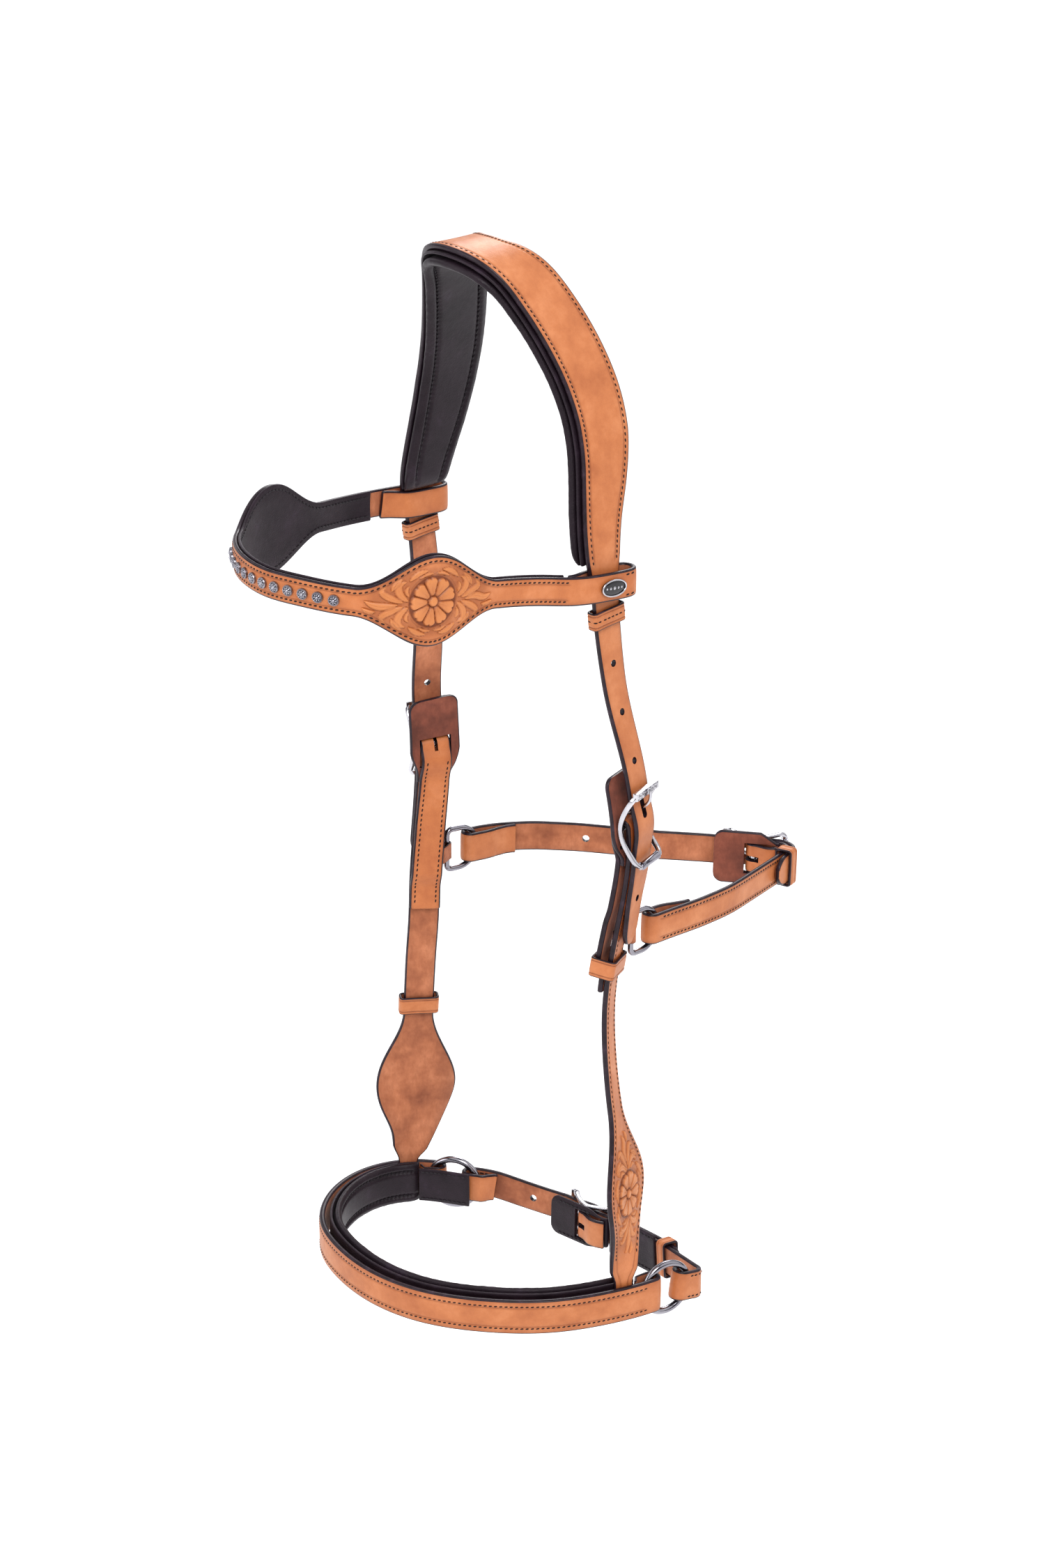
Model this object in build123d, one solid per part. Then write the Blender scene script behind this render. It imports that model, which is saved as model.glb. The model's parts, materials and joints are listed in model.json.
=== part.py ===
from build123d import *
import math
import os
import numpy as np

# Bitless hackamore (side-pull bridle). Millimetres.
# +Z up, +X the horse's left (near) side, -Y the way the horse faces.
# Origin: the poll, under the middle of the padded headpiece.
#
# The straps are laid out in a head frame whose zero lies between the two cheek buckles;
# POLL is the poll point in that frame and is taken off every position.
# A strap follows a Path. "dist" is the distance along it, "across" the offset over its
# width and "lift" the offset out of its grain side, away from the head.
POLL = np.array([0.0, -31.5, 268.0])

# ------------------------------------------------------------------ driving dimensions
STRAP_W = 16.0          # cheek, jowl and chin straps
BILLET_T = 2.6          # headpiece ends
CHAPE_T = 2.8           # folded cheekpieces; also sets the buckle heights
CROWN_T = 3.2           # headpiece over the poll
JAW_T = 2.5             # jowl and chin buckle straps
JAW_BILLET_T = 2.4
NOSE_W, NOSE_T = 19.0, 3.0
NOSE_Z = -253.0
BROW_W, BROW_T = 14.0, 2.4
BROW_LOBE = 43.0        # full width where the browband swells
CHEEK_LOBE = 43.0       # full width where the cheekpiece swells
LOBE_POWER = 0.95
HOLE_R = 1.9
SLOT_R = 1.7            # half width of the slot a buckle bar area needs
TIP_R = 9.0             # length of a rounded strap tip
TIP_STEPS = (0.8, 1.8, 3.0, 4.5, 6.5, 9.0)      # extra stations, back from the tip
FAR_DROP = 6.0          # the far cheek hangs one half hole lower

# buckles: lifts are from the middle of the outer chape layer
WIRE_R = 1.3
ROLLER_R = 2.05
PRONG_R = 0.85
WIRE_GAP = 0.06         # round the wire inside roller and tongue eye
BAR_LIFT = -(WIRE_R + 0.15 + CHAPE_T / 2)       # centre bar
BILLET_LIFT = CHAPE_T / 2 + 0.25 + BILLET_T / 2
END_LIFT = CHAPE_T / 2 + 0.25 + BILLET_T + 0.3 + ROLLER_R
BAR_RISE = 1.6          # how far a billet humps over the centre bar
CHEEK_REACH = 18.5      # cheek buckle end bars from the centre bar
JAW_REACH = 15.0        # the same on the jowl and chin buckles
SIDE_W = 10.3           # side bars from the middle
PINCH = 1.6             # side bars draw in by this at the ends
PINCH_FROM = 0.86       # part of the reach where they start to

# rings and dees
RING_R, RING_WIRE = 13.2, 1.8
DEE_R, DEE_WIRE, DEE_LEG, DEE_CORNER = 11.0, 1.5, 7.0, 3.0

SAMPLE = 0.5            # spacing of the points on a path
MAX_TURN = 0.16         # radians a path may turn between two stations
CUT_HALF = 9            # punches reach this far either side of the leather

os.makedirs("parts", exist_ok=True)


# ------------------------------------------------------------------ curves
def unit(v):
    return v / np.linalg.norm(v, axis=-1, keepdims=True) if False else v / np.linalg.norm(
        v, axis=-1, keepdims=True
    )


def angle_between(one, other):
    return math.acos(max(-1, min(1, float(one @ other))))


def run_lengths(points):
    return np.r_[0, np.cumsum(np.linalg.norm(np.diff(points, axis=0), axis=1))]


def bump(x, half):
    """1 at zero, falling smoothly to 0 at half."""
    x = abs(x) / half
    return 0.0 if x >= 1 else 0.5 + 0.5 * math.cos(math.pi * x)


def ease(x, start, end):
    """0 before start, 1 after end, smooth between."""
    k = min(1.0, max(0.0, (x - start) / (end - start)))
    return k * k * (3 - 2 * k)


def natural_spline(knots, values, wanted):
    """Natural cubic spline through values at knots, read at wanted."""
    count = len(knots)
    gap = np.diff(knots)
    slope = np.diff(values) / gap
    matrix = np.zeros((count, count))
    right = np.zeros(count)
    matrix[0, 0] = matrix[-1, -1] = 1
    for i in range(1, count - 1):
        matrix[i, i - 1:i + 2] = gap[i - 1], 2 * (gap[i - 1] + gap[i]), gap[i]
        right[i] = 6 * (slope[i] - slope[i - 1])
    second = np.linalg.solve(matrix, right)
    k = np.clip(np.searchsorted(knots, wanted, side="right") - 1, 0, count - 2)
    before, after = wanted - knots[k], knots[k + 1] - wanted
    return (
        (second[k] * after**3 + second[k + 1] * before**3) / (6 * gap[k])
        + (values[k] / gap[k] - second[k] * gap[k] / 6) * after
        + (values[k + 1] / gap[k] - second[k + 1] * gap[k] / 6) * before
    )


def curve(rows):
    """Spline through rows of x, y, z and any further columns, spaced by the xyz distance."""
    rows = np.array(rows, float)
    knots = run_lengths(rows[:, :3])
    wanted = np.linspace(0, knots[-1], max(8, int(knots[-1] / SAMPLE)))
    return np.stack([natural_spline(knots, column, wanted) for column in rows.T], 1)


def fillets(points, radii):
    """Straight runs between the points with an arc of the given radius at each inner corner."""
    corners = [np.array(p, float) for p in points]
    out = [corners[0]]
    for before, corner, after, radius in zip(corners, corners[1:], corners[2:], radii):
        back, ahead = unit(before - corner), unit(after - corner)
        angle = angle_between(back, ahead)
        cut = radius / math.tan(angle / 2)
        centre = corner + unit(back + ahead) * radius / math.sin(angle / 2)
        spoke0, spoke1 = corner + back * cut - centre, corner + ahead * cut - centre
        turn = math.pi - angle
        for part in np.linspace(0, 1, max(4, int(turn / 0.08))):
            mix = math.sin((1 - part) * turn) * spoke0 + math.sin(part * turn) * spoke1
            out.append(centre + mix / math.sin(turn))
    out.append(corners[-1])
    out = np.array(out)
    lengths = run_lengths(out)
    wanted = np.linspace(0, lengths[-1], int(lengths[-1] / SAMPLE))
    return np.stack([np.interp(wanted, lengths, out[:, k]) for k in range(3)], 1)


class Path:
    """Middle line of a strap with a frame at each point: tangent along it, normal out of
    the grain side, and across = normal x tangent."""

    def __init__(self, points, normals):
        self.points = np.asarray(points, float)
        self.dists = run_lengths(self.points)
        self.length = self.dists[-1]
        self.tangents = unit(np.gradient(self.points, axis=0))
        normals = np.asarray(normals, float)
        leaning = (normals * self.tangents).sum(1, keepdims=True)
        self.normals = unit(normals - leaning * self.tangents)
        self.across = np.cross(self.normals, self.tangents)

    def at(self, dist):
        """Point, tangent, normal and across direction at dist."""
        point, *directions = (
            np.array([np.interp(dist, self.dists, table[:, k]) for k in range(3)])
            for table in (self.points, self.tangents, self.normals, self.across)
        )
        return point, *(unit(direction) for direction in directions)

    def point(self, dist, across=0.0, lift=0.0):
        point, _, normal, sideways = self.at(dist)
        return point + across * sideways + lift * normal

    def nearest(self, target):
        """Dist of the path point nearest to target."""
        gaps = np.linalg.norm(self.points - np.asarray(target, float), axis=1)
        return float(self.dists[np.argmin(gaps)])

    def at_z(self, z):
        """Dist at height z, on a path that runs downwards."""
        return float(np.interp(-z, -self.points[:, 2], self.dists))


def edge_path(points):
    """A path of a strap standing on edge: the normal is level, to the left of the run."""
    tangents = np.gradient(points, axis=0)
    level = np.stack([-tangents[:, 1], tangents[:, 0], 0 * tangents[:, 0]], 1)
    return Path(points, level)


# Pieces of a path are (points, normals) pairs, glued end to end.
def run(line, start, end, lift=lambda dist: 0.0):
    """A piece that follows line, lifted by lift(dist)."""
    dists = np.arange(start, end, SAMPLE)
    points = np.array([line.point(dist, 0, lift(dist)) for dist in dists])
    return points, np.array([line.at(dist)[2] for dist in dists])


def turn_back(line, bend, radius, back_end, back_lift, end):
    """The return of a strap end, from its free end on: the layer under the line, from
    back_end to bend, then a half circle there.
    end = -1 folds at the low end of line, +1 at the high end."""
    points, normals = [], []
    for dist in np.arange(back_end, bend, 0.4 * np.sign(bend - back_end)):
        settle = ease(abs(dist - bend), radius * 1.6, abs(back_end - bend))
        lift = -2 * radius + (back_lift + 2 * radius) * settle
        points.append(line.point(dist, 0, lift))
        normals.append(-line.at(dist)[2])
    point, tangent, normal, _ = line.at(bend)
    centre = point - radius * normal
    for angle in np.linspace(0, math.pi, 21):
        spoke = end * math.sin(angle) * tangent - math.cos(angle) * normal
        points.append(centre + radius * spoke)
        normals.append(spoke)
    return np.array(points), np.array(normals)


def flip(piece):
    return piece[0][::-1], piece[1][::-1]


def glue(*pieces):
    """Join pieces into a Path, dropping points that crowd the one before."""
    points = np.vstack([piece[0] for piece in pieces])
    normals = np.vstack([piece[1] for piece in pieces])
    keep = [0]
    for k in range(1, len(points)):
        if np.linalg.norm(points[k] - points[keep[-1]]) > 0.15:
            keep.append(k)
    return Path(points[keep], normals[keep])


# ------------------------------------------------------------------ solids
def vec(v):
    return Vector(*[float(k) for k in v])


def place(point):
    """A head frame point in the poll frame."""
    return vec(np.asarray(point, float) - POLL)


def plane(origin, x_dir, z_dir):
    return Plane(origin=place(origin), x_dir=vec(x_dir), z_dir=vec(z_dir))


def mirrored(shape, flip_x):
    return shape.mirror(Plane.YZ) if flip_x else shape


def biggest(shape):
    return max(shape.solids(), key=lambda solid: solid.volume)


def save(shape, name, flip_x=False):
    solids = mirrored(shape, flip_x).solids()
    body = solids[0] if len(solids) == 1 else Compound(children=list(solids))
    export_step(body, f"parts/{name}.step")


def slab(half, low, high):
    """Corners (across, lift) of a rectangular strap section."""
    return [(-half, low), (half, low), (half, high), (-half, high)]


def even(half, low, high):
    """The same rectangular section all along."""
    return lambda dist: slab(half, low, high)


def stations(path, start, end, step):
    """Stations from start to end, closer where the path turns."""
    out = [start]
    last, (_, tangent0, normal0, _) = start, path.at(start)
    for dist in np.arange(start + 0.5, end, 0.5):
        _, tangent, normal, _ = path.at(dist)
        bend = angle_between(tangent, tangent0) + angle_between(normal, normal0)
        if dist - last >= step or bend > MAX_TURN:
            out.append(float(dist))
            last, tangent0, normal0 = dist, tangent, normal
    if end - out[-1] < 0.4 and len(out) > 1:
        out[-1] = end
    else:
        out.append(end)
    return out


def strap(path, start, end, section, step=7.0, extra=()):
    """A strap along path; section(dist) gives its corners as (across, lift)."""
    wanted = stations(path, start, end, step) + [x for x in extra if start < x < end]
    dists = sorted(set(round(x, 3) for x in wanted))
    dists = [dists[0]] + [b for a, b in zip(dists, dists[1:]) if b - a > 0.25]
    wires = []
    for dist in dists:
        corners = [place(path.point(dist, across, lift)) for across, lift in section(dist)]
        wires.append(Wire.make_polygon(corners, close=True))
    return Solid.make_loft(wires, ruled=True)


def rod(start, end, radius):
    start, end = place(start), place(end)
    run_to = end - start
    return Solid.make_cylinder(radius, run_to.length, Plane(origin=start, z_dir=run_to))


def ball(centre, radius):
    return Solid.make_sphere(radius, Plane(origin=place(centre)), -90, 90, 360)


def wire_run(points, radius):
    """A bent wire: rods joined by balls."""
    out = rod(points[0], points[1], radius)
    for k in range(1, len(points) - 1):
        out = out + ball(points[k], radius) + rod(points[k], points[k + 1], radius)
    return out


def hole(path, dist, lift=0.0, radius=HOLE_R, slot=0.0):
    """A punch through the strap: round, or a slot of that overall length along it."""
    point, tangent, normal, _ = path.at(dist)
    base = plane(point + (lift - CUT_HALF) * normal, tangent, normal)
    if slot:
        return extrude(base * SlotOverall(slot, 2 * radius), amount=2 * CUT_HALF)
    return Solid.make_cylinder(radius, 2 * CUT_HALF, base)


def tip_round(half, dist, end):
    """Half width of a strap, rounded off over the last TIP_R before end."""
    if dist <= end - TIP_R:
        return half
    return half * math.sqrt(max(0.12, 1 - ((dist - end + TIP_R) / (TIP_R + 0.6)) ** 2))


def swell(strap_w, lobe_w, amount):
    """Half width of a strap that swells into a lobe, for an amount of 0 to 1."""
    return strap_w / 2 + (lobe_w - strap_w) / 2 * amount**LOBE_POWER


def padded(path, start, end, half, top, taper, thick, over, full_start=False):
    """Under a strap: flange leather, the lining that wraps the core, and the foam core.
    With full_start the padding keeps its full depth at start, where it meets its twin."""
    flange_t = 1.5
    pad_top = top - flange_t - 0.24

    def depth(dist):
        rise = 1.0 if full_start else ease(dist, start - 0.2 * taper, start + taper)
        fade = min(rise, 1 - ease(dist, end - taper, end + 0.2 * taper))
        return thick * (0.35 + 0.65 * fade)

    def pad(trim, inset, sink):
        def ring(dist):
            wide, deep = half(dist) + over - inset, depth(dist)
            low, middle, high = pad_top - deep + inset, pad_top - deep * 0.45, pad_top - sink
            return [(-wide + 1.4, high), (-wide, middle), (-wide + 3.6, low),
                    (wide - 3.6, low), (wide, middle), (wide - 1.4, high)]

        return strap(path, start if full_start else start + trim, end - trim, ring)

    def flange_section(dist):
        return slab(half(dist) + over - 0.6, top - flange_t, top)

    flange = strap(path, start, end, flange_section)
    lining = pad(0.0, 0.0, 0.0) - pad(1.2, 1.0, -0.6)
    foam = pad(1.7, 1.7, 0.24)
    return flange, lining, foam


# ------------------------------------------------------------------ buckles and keepers
def buckle_fold(line, bar, inner_end, tab=None):
    """The chape's inner layer from its free end to the buckle bar, and the fold round it.
    tab is the distance from bar to dee tab, which the inner layer makes room for.
    Returns the piece and the centre of the bar."""
    radius = -BAR_LIFT
    points, normals = [], []
    for dist in np.arange(inner_end, bar, -0.5):
        past = dist - bar
        lift = -2 * radius - 2.6 * ease(past, 0, 8) + 2.7 * ease(past, 9, 20)
        if tab is not None:
            lift += -0.9 * ease(past, tab - 19, tab - 9) + 3.35 * ease(past, tab + 7.5, tab + 16)
        points.append(line.point(dist, 0, lift))
        normals.append(-line.at(dist)[2])
    point, tangent, normal, _ = line.at(bar)
    centre = point - radius * normal
    for angle in np.linspace(0, math.pi, 25)[1:-1]:
        spoke = -math.sin(angle) * tangent - math.cos(angle) * normal
        points.append(centre + radius * spoke)
        normals.append(spoke)
    return (np.array(points), np.array(normals)), centre


def tongue_slot(path, bar_centre):
    """Cutter for the tongue's slot in the middle of the fold."""
    gaps = np.linalg.norm(path.points - bar_centre, axis=1)
    fold = np.where(gaps < -BAR_LIFT + 0.12)[0]
    middle = float(path.dists[fold[len(fold) // 2]])
    return strap(path, middle - 8.2, middle + 8.2, even(1.5, -3, 3), 0.8)


def buckle(line, bar, prefix, reach, flip_x=False):
    """Frame with centre bar, roller on the end bar further along, tongue pointing back."""
    origin, tangent, normal, sideways = line.at(bar)

    def spot(along, across, lift):
        return origin + along * tangent + across * sideways + lift * normal

    def across_rod(along, half, lift, radius):
        return rod(spot(along, -half, lift), spot(along, half, lift), radius)

    def side_point(side, part):
        draw_in = PINCH * max(0, abs(part) - PINCH_FROM) / (1 - PINCH_FROM)
        along = part * reach
        lift = BAR_LIFT + (END_LIFT - BAR_LIFT) * (abs(along) / reach) ** 1.6
        return spot(along, side * (SIDE_W - draw_in), lift)

    end_w = SIDE_W - PINCH
    frame = across_rod(0, SIDE_W, BAR_LIFT, WIRE_R)
    parts = [-1, -PINCH_FROM, -0.62, -0.32, 0, 0.32, 0.62, PINCH_FROM, 1]
    for side in (-1, 1):
        frame = frame + wire_run([side_point(side, part) for part in parts], WIRE_R)
    for along in (-reach, reach):
        frame = frame + across_rod(along, end_w, END_LIFT, WIRE_R)
        for side in (-1, 1):
            frame = frame + ball(spot(along, side * end_w, END_LIFT), WIRE_R)
    save(frame, prefix + "_buckle_frame", flip_x)

    roller = across_rod(reach, end_w - 1.5, END_LIFT, ROLLER_R)
    roller = roller - across_rod(reach, end_w, END_LIFT, WIRE_R + WIRE_GAP)
    save(roller, prefix + "_buckle_roller", flip_x)

    eye = across_rod(0, 1.1, BAR_LIFT, WIRE_R + 1.1)
    tip_lift = END_LIFT + WIRE_R + 1.05
    prong_points = [(-1.8, BAR_LIFT + 1.0), (-reach * 0.4, BAR_LIFT + 5.2),
                    (-reach * 0.76, tip_lift - 0.35), (-reach - 1.2, tip_lift)]
    prong = wire_run([spot(along, 0, lift) for along, lift in prong_points], PRONG_R)
    tongue = (eye + prong) - across_rod(0, 2, BAR_LIFT, WIRE_R + WIRE_GAP)
    save(tongue, prefix + "_buckle_tongue", flip_x)


def guard(line, bar, prefix, before, after, half, flip_x=False):
    """Leather guard behind the buckle, from before the bar to after it, with the slit the
    inner layer comes through."""
    corner = 5

    def section(dist):
        past = dist - bar
        if past < -before + corner:
            into = -before + corner - past
            wide = half - corner + math.sqrt(max(0, corner**2 - into**2))
        elif past < 4:
            wide = half
        else:
            wide = half + (8.6 - half) * ease(past, 2, after - 1)
        lift = -5.45 + 2.6 * ease(past, 10, 18)
        return slab(wide, lift - 1.1, lift + 1.1)

    extra = [bar - before + k for k in (0.6, 1.8, 3.4, corner)]
    extra += [bar + k for k in (4, 7, 10, 12, 14, 16, 18)]
    body = strap(line, bar - before, bar + after, section, 5.0, extra)
    body = body - strap(line, bar - 4.7, bar + 12.5, even(8.5, -9, -1.5), 3.0)
    save(body, prefix + "_buckle_guard", flip_x)


def keeper(line, dist, half, low, high, tall, name, wall=1.6, flip_x=False):
    """A rectangular loop round the strap; half, low and high are its opening."""
    point, tangent, normal, sideways = line.at(dist)
    base = plane(point - tall / 2 * tangent + (low + high) / 2 * normal, sideways, tangent)
    outside = RectangleRounded(2 * (half + wall), high - low + 2 * wall, 1.5)
    opening = RectangleRounded(2 * half, high - low, 0.6)
    loop = extrude(base * outside, amount=tall) - extrude(base * opening, amount=tall)
    save(loop, name, flip_x=flip_x)


# ------------------------------------------------------------------ noseband
# x, y of the middle line: near side, forward round the nose, back along the far side
NOSE_XY = [
    (91.4, 11.0), (90.4, 4.0), (88.3, -6.0), (83.0, -23.0), (74.0, -42.0), (52.0, -67.5),
    (23.0, -86.5), (-9.0, -93.5), (-40.0, -90.5), (-64.0, -81.5), (-81.0, -66.5),
    (-92.0, -47.0), (-95.0, -29.0), (-92.3, -14.5), (-86.5, -3.8), (-77.0, 5.2),
    (-66.0, 12.6), (-54.5, 19.8),
]
NOSE = edge_path(curve([(x, y, NOSE_Z) for x, y in NOSE_XY]))
NOSE_FOLD_R = NOSE_T / 2 + 0.35 + RING_WIRE
NOSE_RING_REACH = 9.2                                   # fold centre from the ring centre
NEAR_SEWN = NOSE.nearest((88.6, -6.5, NOSE_Z))          # where the cheeks are sewn in
FAR_SEWN = NOSE.nearest((-88.0, -6.3, NOSE_Z))
NEAR_FOLD = 0.6
FAR_FOLD = FAR_SEWN + 16.6
NOSE_GAP = 2.5                                          # room for the cheek ends
NOSE_RETURN = 9.5                                       # length turned back past each ring


def noseband_leather():
    near_return = turn_back(NOSE, NEAR_FOLD, NOSE_FOLD_R, NEAR_FOLD + NOSE_RETURN, -3.4, -1)
    far_return = turn_back(NOSE, FAR_FOLD, NOSE_FOLD_R, FAR_FOLD - NOSE_RETURN, -3.4, 1)
    path = glue(near_return, run(NOSE, NEAR_FOLD, FAR_FOLD), flip(far_return))
    skived = 1.3                                        # thickness at the free ends

    def section(dist):
        inward = min(dist, path.length - dist)
        thick = skived + (NOSE_T - skived) * ease(inward, 5, 16 + NOSE_FOLD_R * math.pi)
        half = NOSE_W / 2 - 0.6 + 0.6 * ease(inward, 0, 12)
        if inward > 12:
            return slab(half, NOSE_T / 2 - thick, NOSE_T / 2)
        return slab(half, -thick / 2 + 0.5, thick / 2 + 0.5)

    save(strap(path, 0, path.length, section, 6.0), "noseband_leather")


def noseband_padding():
    start, end = NEAR_FOLD + 10.2, FAR_FOLD - 10.2
    layers = padded(NOSE, start, end, half=lambda dist: NOSE_W / 2,
                    top=-NOSE_T / 2 - NOSE_GAP, taper=12, thick=5.2, over=1.5)
    for layer, name in zip(layers, ("flange", "lining", "foam")):
        save(layer, "noseband_" + name)
    # flat strip that carries on behind the padding, inside the far ring
    cover_end = NOSE.nearest((-59.0, 17.0, NOSE_Z))
    cover = strap(NOSE, end + 0.3, cover_end, even(9.6, -11.0, -9.6), 6.0)
    save(cover, "far_ring_cover")


def rein_ring(name, fold, end):
    """A ring in one fold of the noseband. Returns its centre, the direction rearward
    along the noseband and its outward axis."""
    point, tangent, normal, _ = NOSE.at(fold)
    centre = point - NOSE_FOLD_R * normal + end * NOSE_RING_REACH * tangent
    ring = Solid.make_torus(RING_R, RING_WIRE, plane(centre, (0, 0, 1), normal))
    save(ring, name)
    return centre, end * tangent, normal


noseband_leather()
noseband_padding()
near_ring = rein_ring("near_rein_ring", NEAR_FOLD, -1)
far_ring = rein_ring("far_rein_ring", FAR_FOLD, 1)

# ------------------------------------------------------------------ headpiece and cheeks
# Both cheeks are drawn on the near side; the far one is mirrored when it is saved.
# x, y, z, twist in degrees: normal = (cos, sin, 0); from the poll down
CHEEK_ROWS = [
    (0.0, -31.5, 278.6, 0), (12.5, -29.5, 277.0, 0), (24.7, -23.5, 270.6, 0),
    (35.1, -16.0, 257.0, 0), (45.0, -8.5, 238.0, 0), (54.2, -3.0, 216.0, 0),
    (60.2, -1.8, 197.0, 0), (64.4, -4.5, 175.0, 0), (67.2, -8.0, 157.0, 0),
    (69.4, -9.5, 141.0, 0), (69.6, -8.3, 125.0, 0), (69.2, -6.6, 110.0, 2),
    (70.3, -3.6, 82.0, 9), (73.2, -0.2, 53.6, 14), (77.0, 2.4, 29.0, 16),
    (79.0, 5.0, 3.5, 17), (78.6, 5.2, -15.0, 20), (76.8, 2.0, -38.0, 26),
    (74.6, -2.0, -60.0, 30), (73.2, -4.6, -78.0, 31), (72.6, -5.8, -95.0, 32),
    (73.9, -6.5, -114.0, 32), (78.2, -5.5, -150.0, 30), (84.0, -3.2, -193.0, 26),
    (85.0, -4.6, -222.0, 16),
]
FOOT_Z = (-241.0, -251.0, -261.0)       # cheek end, between noseband and padding
CHEEK_BUCKLE_AT = (79.0, 5.0, 3.5)
# z, half width of the headpiece: wide over the poll and the sides, strap width below
CROWN_HALF = np.array([
    (-400, 8.0), (118, 8.0), (132, 8.9), (140, 10.2), (158, 11.6), (175, 13.2), (195, 14.6),
    (215, 15.0), (240, 15.0), (262, 14.8), (276, 14.4), (281, 14.2),
])


def head_line(sewn, flip_x, drop):
    rows = [list(cells) for cells in CHEEK_ROWS]
    for cells in rows[-2:]:
        cells[2] -= drop * 0.6
    normal = NOSE.at(sewn)[2]
    foot = NOSE.point(sewn, 0, -NOSE_T / 2 - NOSE_GAP / 2)
    side = -1 if flip_x else 1
    twist = math.degrees(math.atan2(normal[1], side * normal[0]))
    rows += [[side * foot[0], foot[1], z, twist] for z in FOOT_Z]
    table = curve(rows)
    points, angle = table[:, :3], np.radians(table[:, 3])
    tangents = unit(np.gradient(points, axis=0))
    twisted = np.stack([np.cos(angle), np.sin(angle), 0 * angle], 1)
    # over the crown the normal lies in the X-Z plane, square to the line
    crown = unit(np.stack([-tangents[:, 2], 0 * angle, tangents[:, 0]], 1))
    blend = np.clip((points[:, 2:3] - 130) / 40, 0, 1)
    return Path(points, unit(twisted * (1 - blend) + crown * blend))


class Cheek:
    """One side: its line, and where the buckle, dee tab and keepers sit on it."""

    def __init__(self, prefix, sewn, flip_x, drop, dee_z, lobe_z, pad_z,
                 upper_keeper_z, lower_keeper_z, lower_keeper_half, lower_keeper_low):
        self.prefix, self.flip_x = prefix, flip_x
        self.line = head_line(sewn, flip_x, drop)
        self.bar = self.line.nearest(CHEEK_BUCKLE_AT) + drop
        self.tip = self.bar + 62
        self.tab = self.line.at_z(dee_z)
        self.lobe = self.line.at_z(lobe_z)
        self.pad_end = self.line.at_z(pad_z)
        self.upper_keeper = self.line.at_z(upper_keeper_z)
        self.lower_keeper = self.line.at_z(lower_keeper_z)
        self.lower_keeper_half, self.lower_keeper_low = lower_keeper_half, lower_keeper_low

    def crown_half(self, dist):
        z = self.line.at(dist)[0][2]
        return float(np.interp(z, CROWN_HALF[:, 0], CROWN_HALF[:, 1]))

    def billet_lift(self, dist):
        past = dist - self.bar
        hump = BAR_RISE * bump(past, 16)
        return BILLET_LIFT * ease(past, -75, -24) + hump + 1.8 * ease(past, 34, 64)

    def head_half(self):
        """Half of the headpiece strap, from the poll to its tip below the buckle."""
        line = self.line

        def section(dist):
            half = tip_round(self.crown_half(dist), dist, self.tip)
            z = line.at(dist)[0][2]
            thick = CROWN_T - (CROWN_T - BILLET_T) * ease(-z, -134, -112)
            lift = self.billet_lift(dist)
            return slab(half, lift - thick / 2, lift + thick / 2)

        half = strap(line, 0, self.tip, section, extra=[self.tip - k for k in TIP_STEPS])
        for past in (-83, -58, -33, 38):
            dist = self.bar + past
            half = half - hole(line, dist, self.billet_lift(dist))
        dist = self.bar - 9.8
        half = half - hole(line, dist, self.billet_lift(dist), SLOT_R, slot=12.0)
        return mirrored(half.solids()[0], self.flip_x)

    def padding_half(self):
        layers = padded(self.line, 0, self.pad_end, half=self.crown_half,
                        top=-CROWN_T / 2 - 0.22, taper=26, thick=6.6, over=2.2,
                        full_start=True)
        return [mirrored(layer, self.flip_x) for layer in layers]

    def cheekpiece(self):
        line = self.line
        tab = self.tab - self.bar
        inner, bar_centre = buckle_fold(line, self.bar, self.bar + 88.0, tab)
        path = glue(inner, run(line, self.bar, line.at_z(-260.2)))
        lobe = path.nearest(line.point(self.lobe))
        foot = path.nearest(line.point(line.at_z(-236)))

        def section(dist):
            half = swell(STRAP_W, CHEEK_LOBE, bump(dist - lobe, 46))
            half -= 3.0 * ease(dist, foot - 2, foot + 6.5)
            thick = CHAPE_T - 1.4 * ease(dist, foot - 4, foot + 6.5)
            return slab(half, -thick / 2, thick / 2)

        extra = [foot + 6.5, foot + 7.5]
        for offset in (-19, -14, -9, -5.2, 0, 5.2, 7.5, 10, 13, 16):
            extra.append(path.nearest(line.point(self.tab + offset, 0, -6.0)))
        body = strap(path, 0, path.length, section, extra=extra)
        body = body - tongue_slot(path, bar_centre)
        save(biggest(body), self.prefix + "_cheekpiece", self.flip_x)

    def fittings(self):
        line, prefix, flip_x = self.line, self.prefix, self.flip_x
        buckle(line, self.bar, prefix + "_cheek", CHEEK_REACH, flip_x)
        guard(line, self.bar, prefix + "_cheek", before=27.0, after=21.0, half=13.5,
              flip_x=flip_x)
        keeper(line, self.upper_keeper, half=8.5, low=-1.8, high=1.8, tall=9.0,
               name=prefix + "_upper_keeper", flip_x=flip_x)
        keeper(line, self.lower_keeper, half=self.lower_keeper_half,
               low=self.lower_keeper_low, high=1.9, tall=10.0,
               name=prefix + "_lower_keeper", flip_x=flip_x)


NEAR_DEE_Z, FAR_DEE_Z = -59.5, -62.5
near = Cheek("near", NEAR_SEWN, flip_x=False, drop=0.0, dee_z=NEAR_DEE_Z, lobe_z=-193.0,
             pad_z=137.0, upper_keeper_z=109.5, lower_keeper_z=-71.0,
             lower_keeper_half=8.6, lower_keeper_low=-8.1)
far = Cheek("far", FAR_SEWN, flip_x=True, drop=FAR_DROP, dee_z=FAR_DEE_Z, lobe_z=-198.5,
            pad_z=141.0, upper_keeper_z=118.4, lower_keeper_z=-147.0,
            lower_keeper_half=9.0, lower_keeper_low=-1.9)

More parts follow.
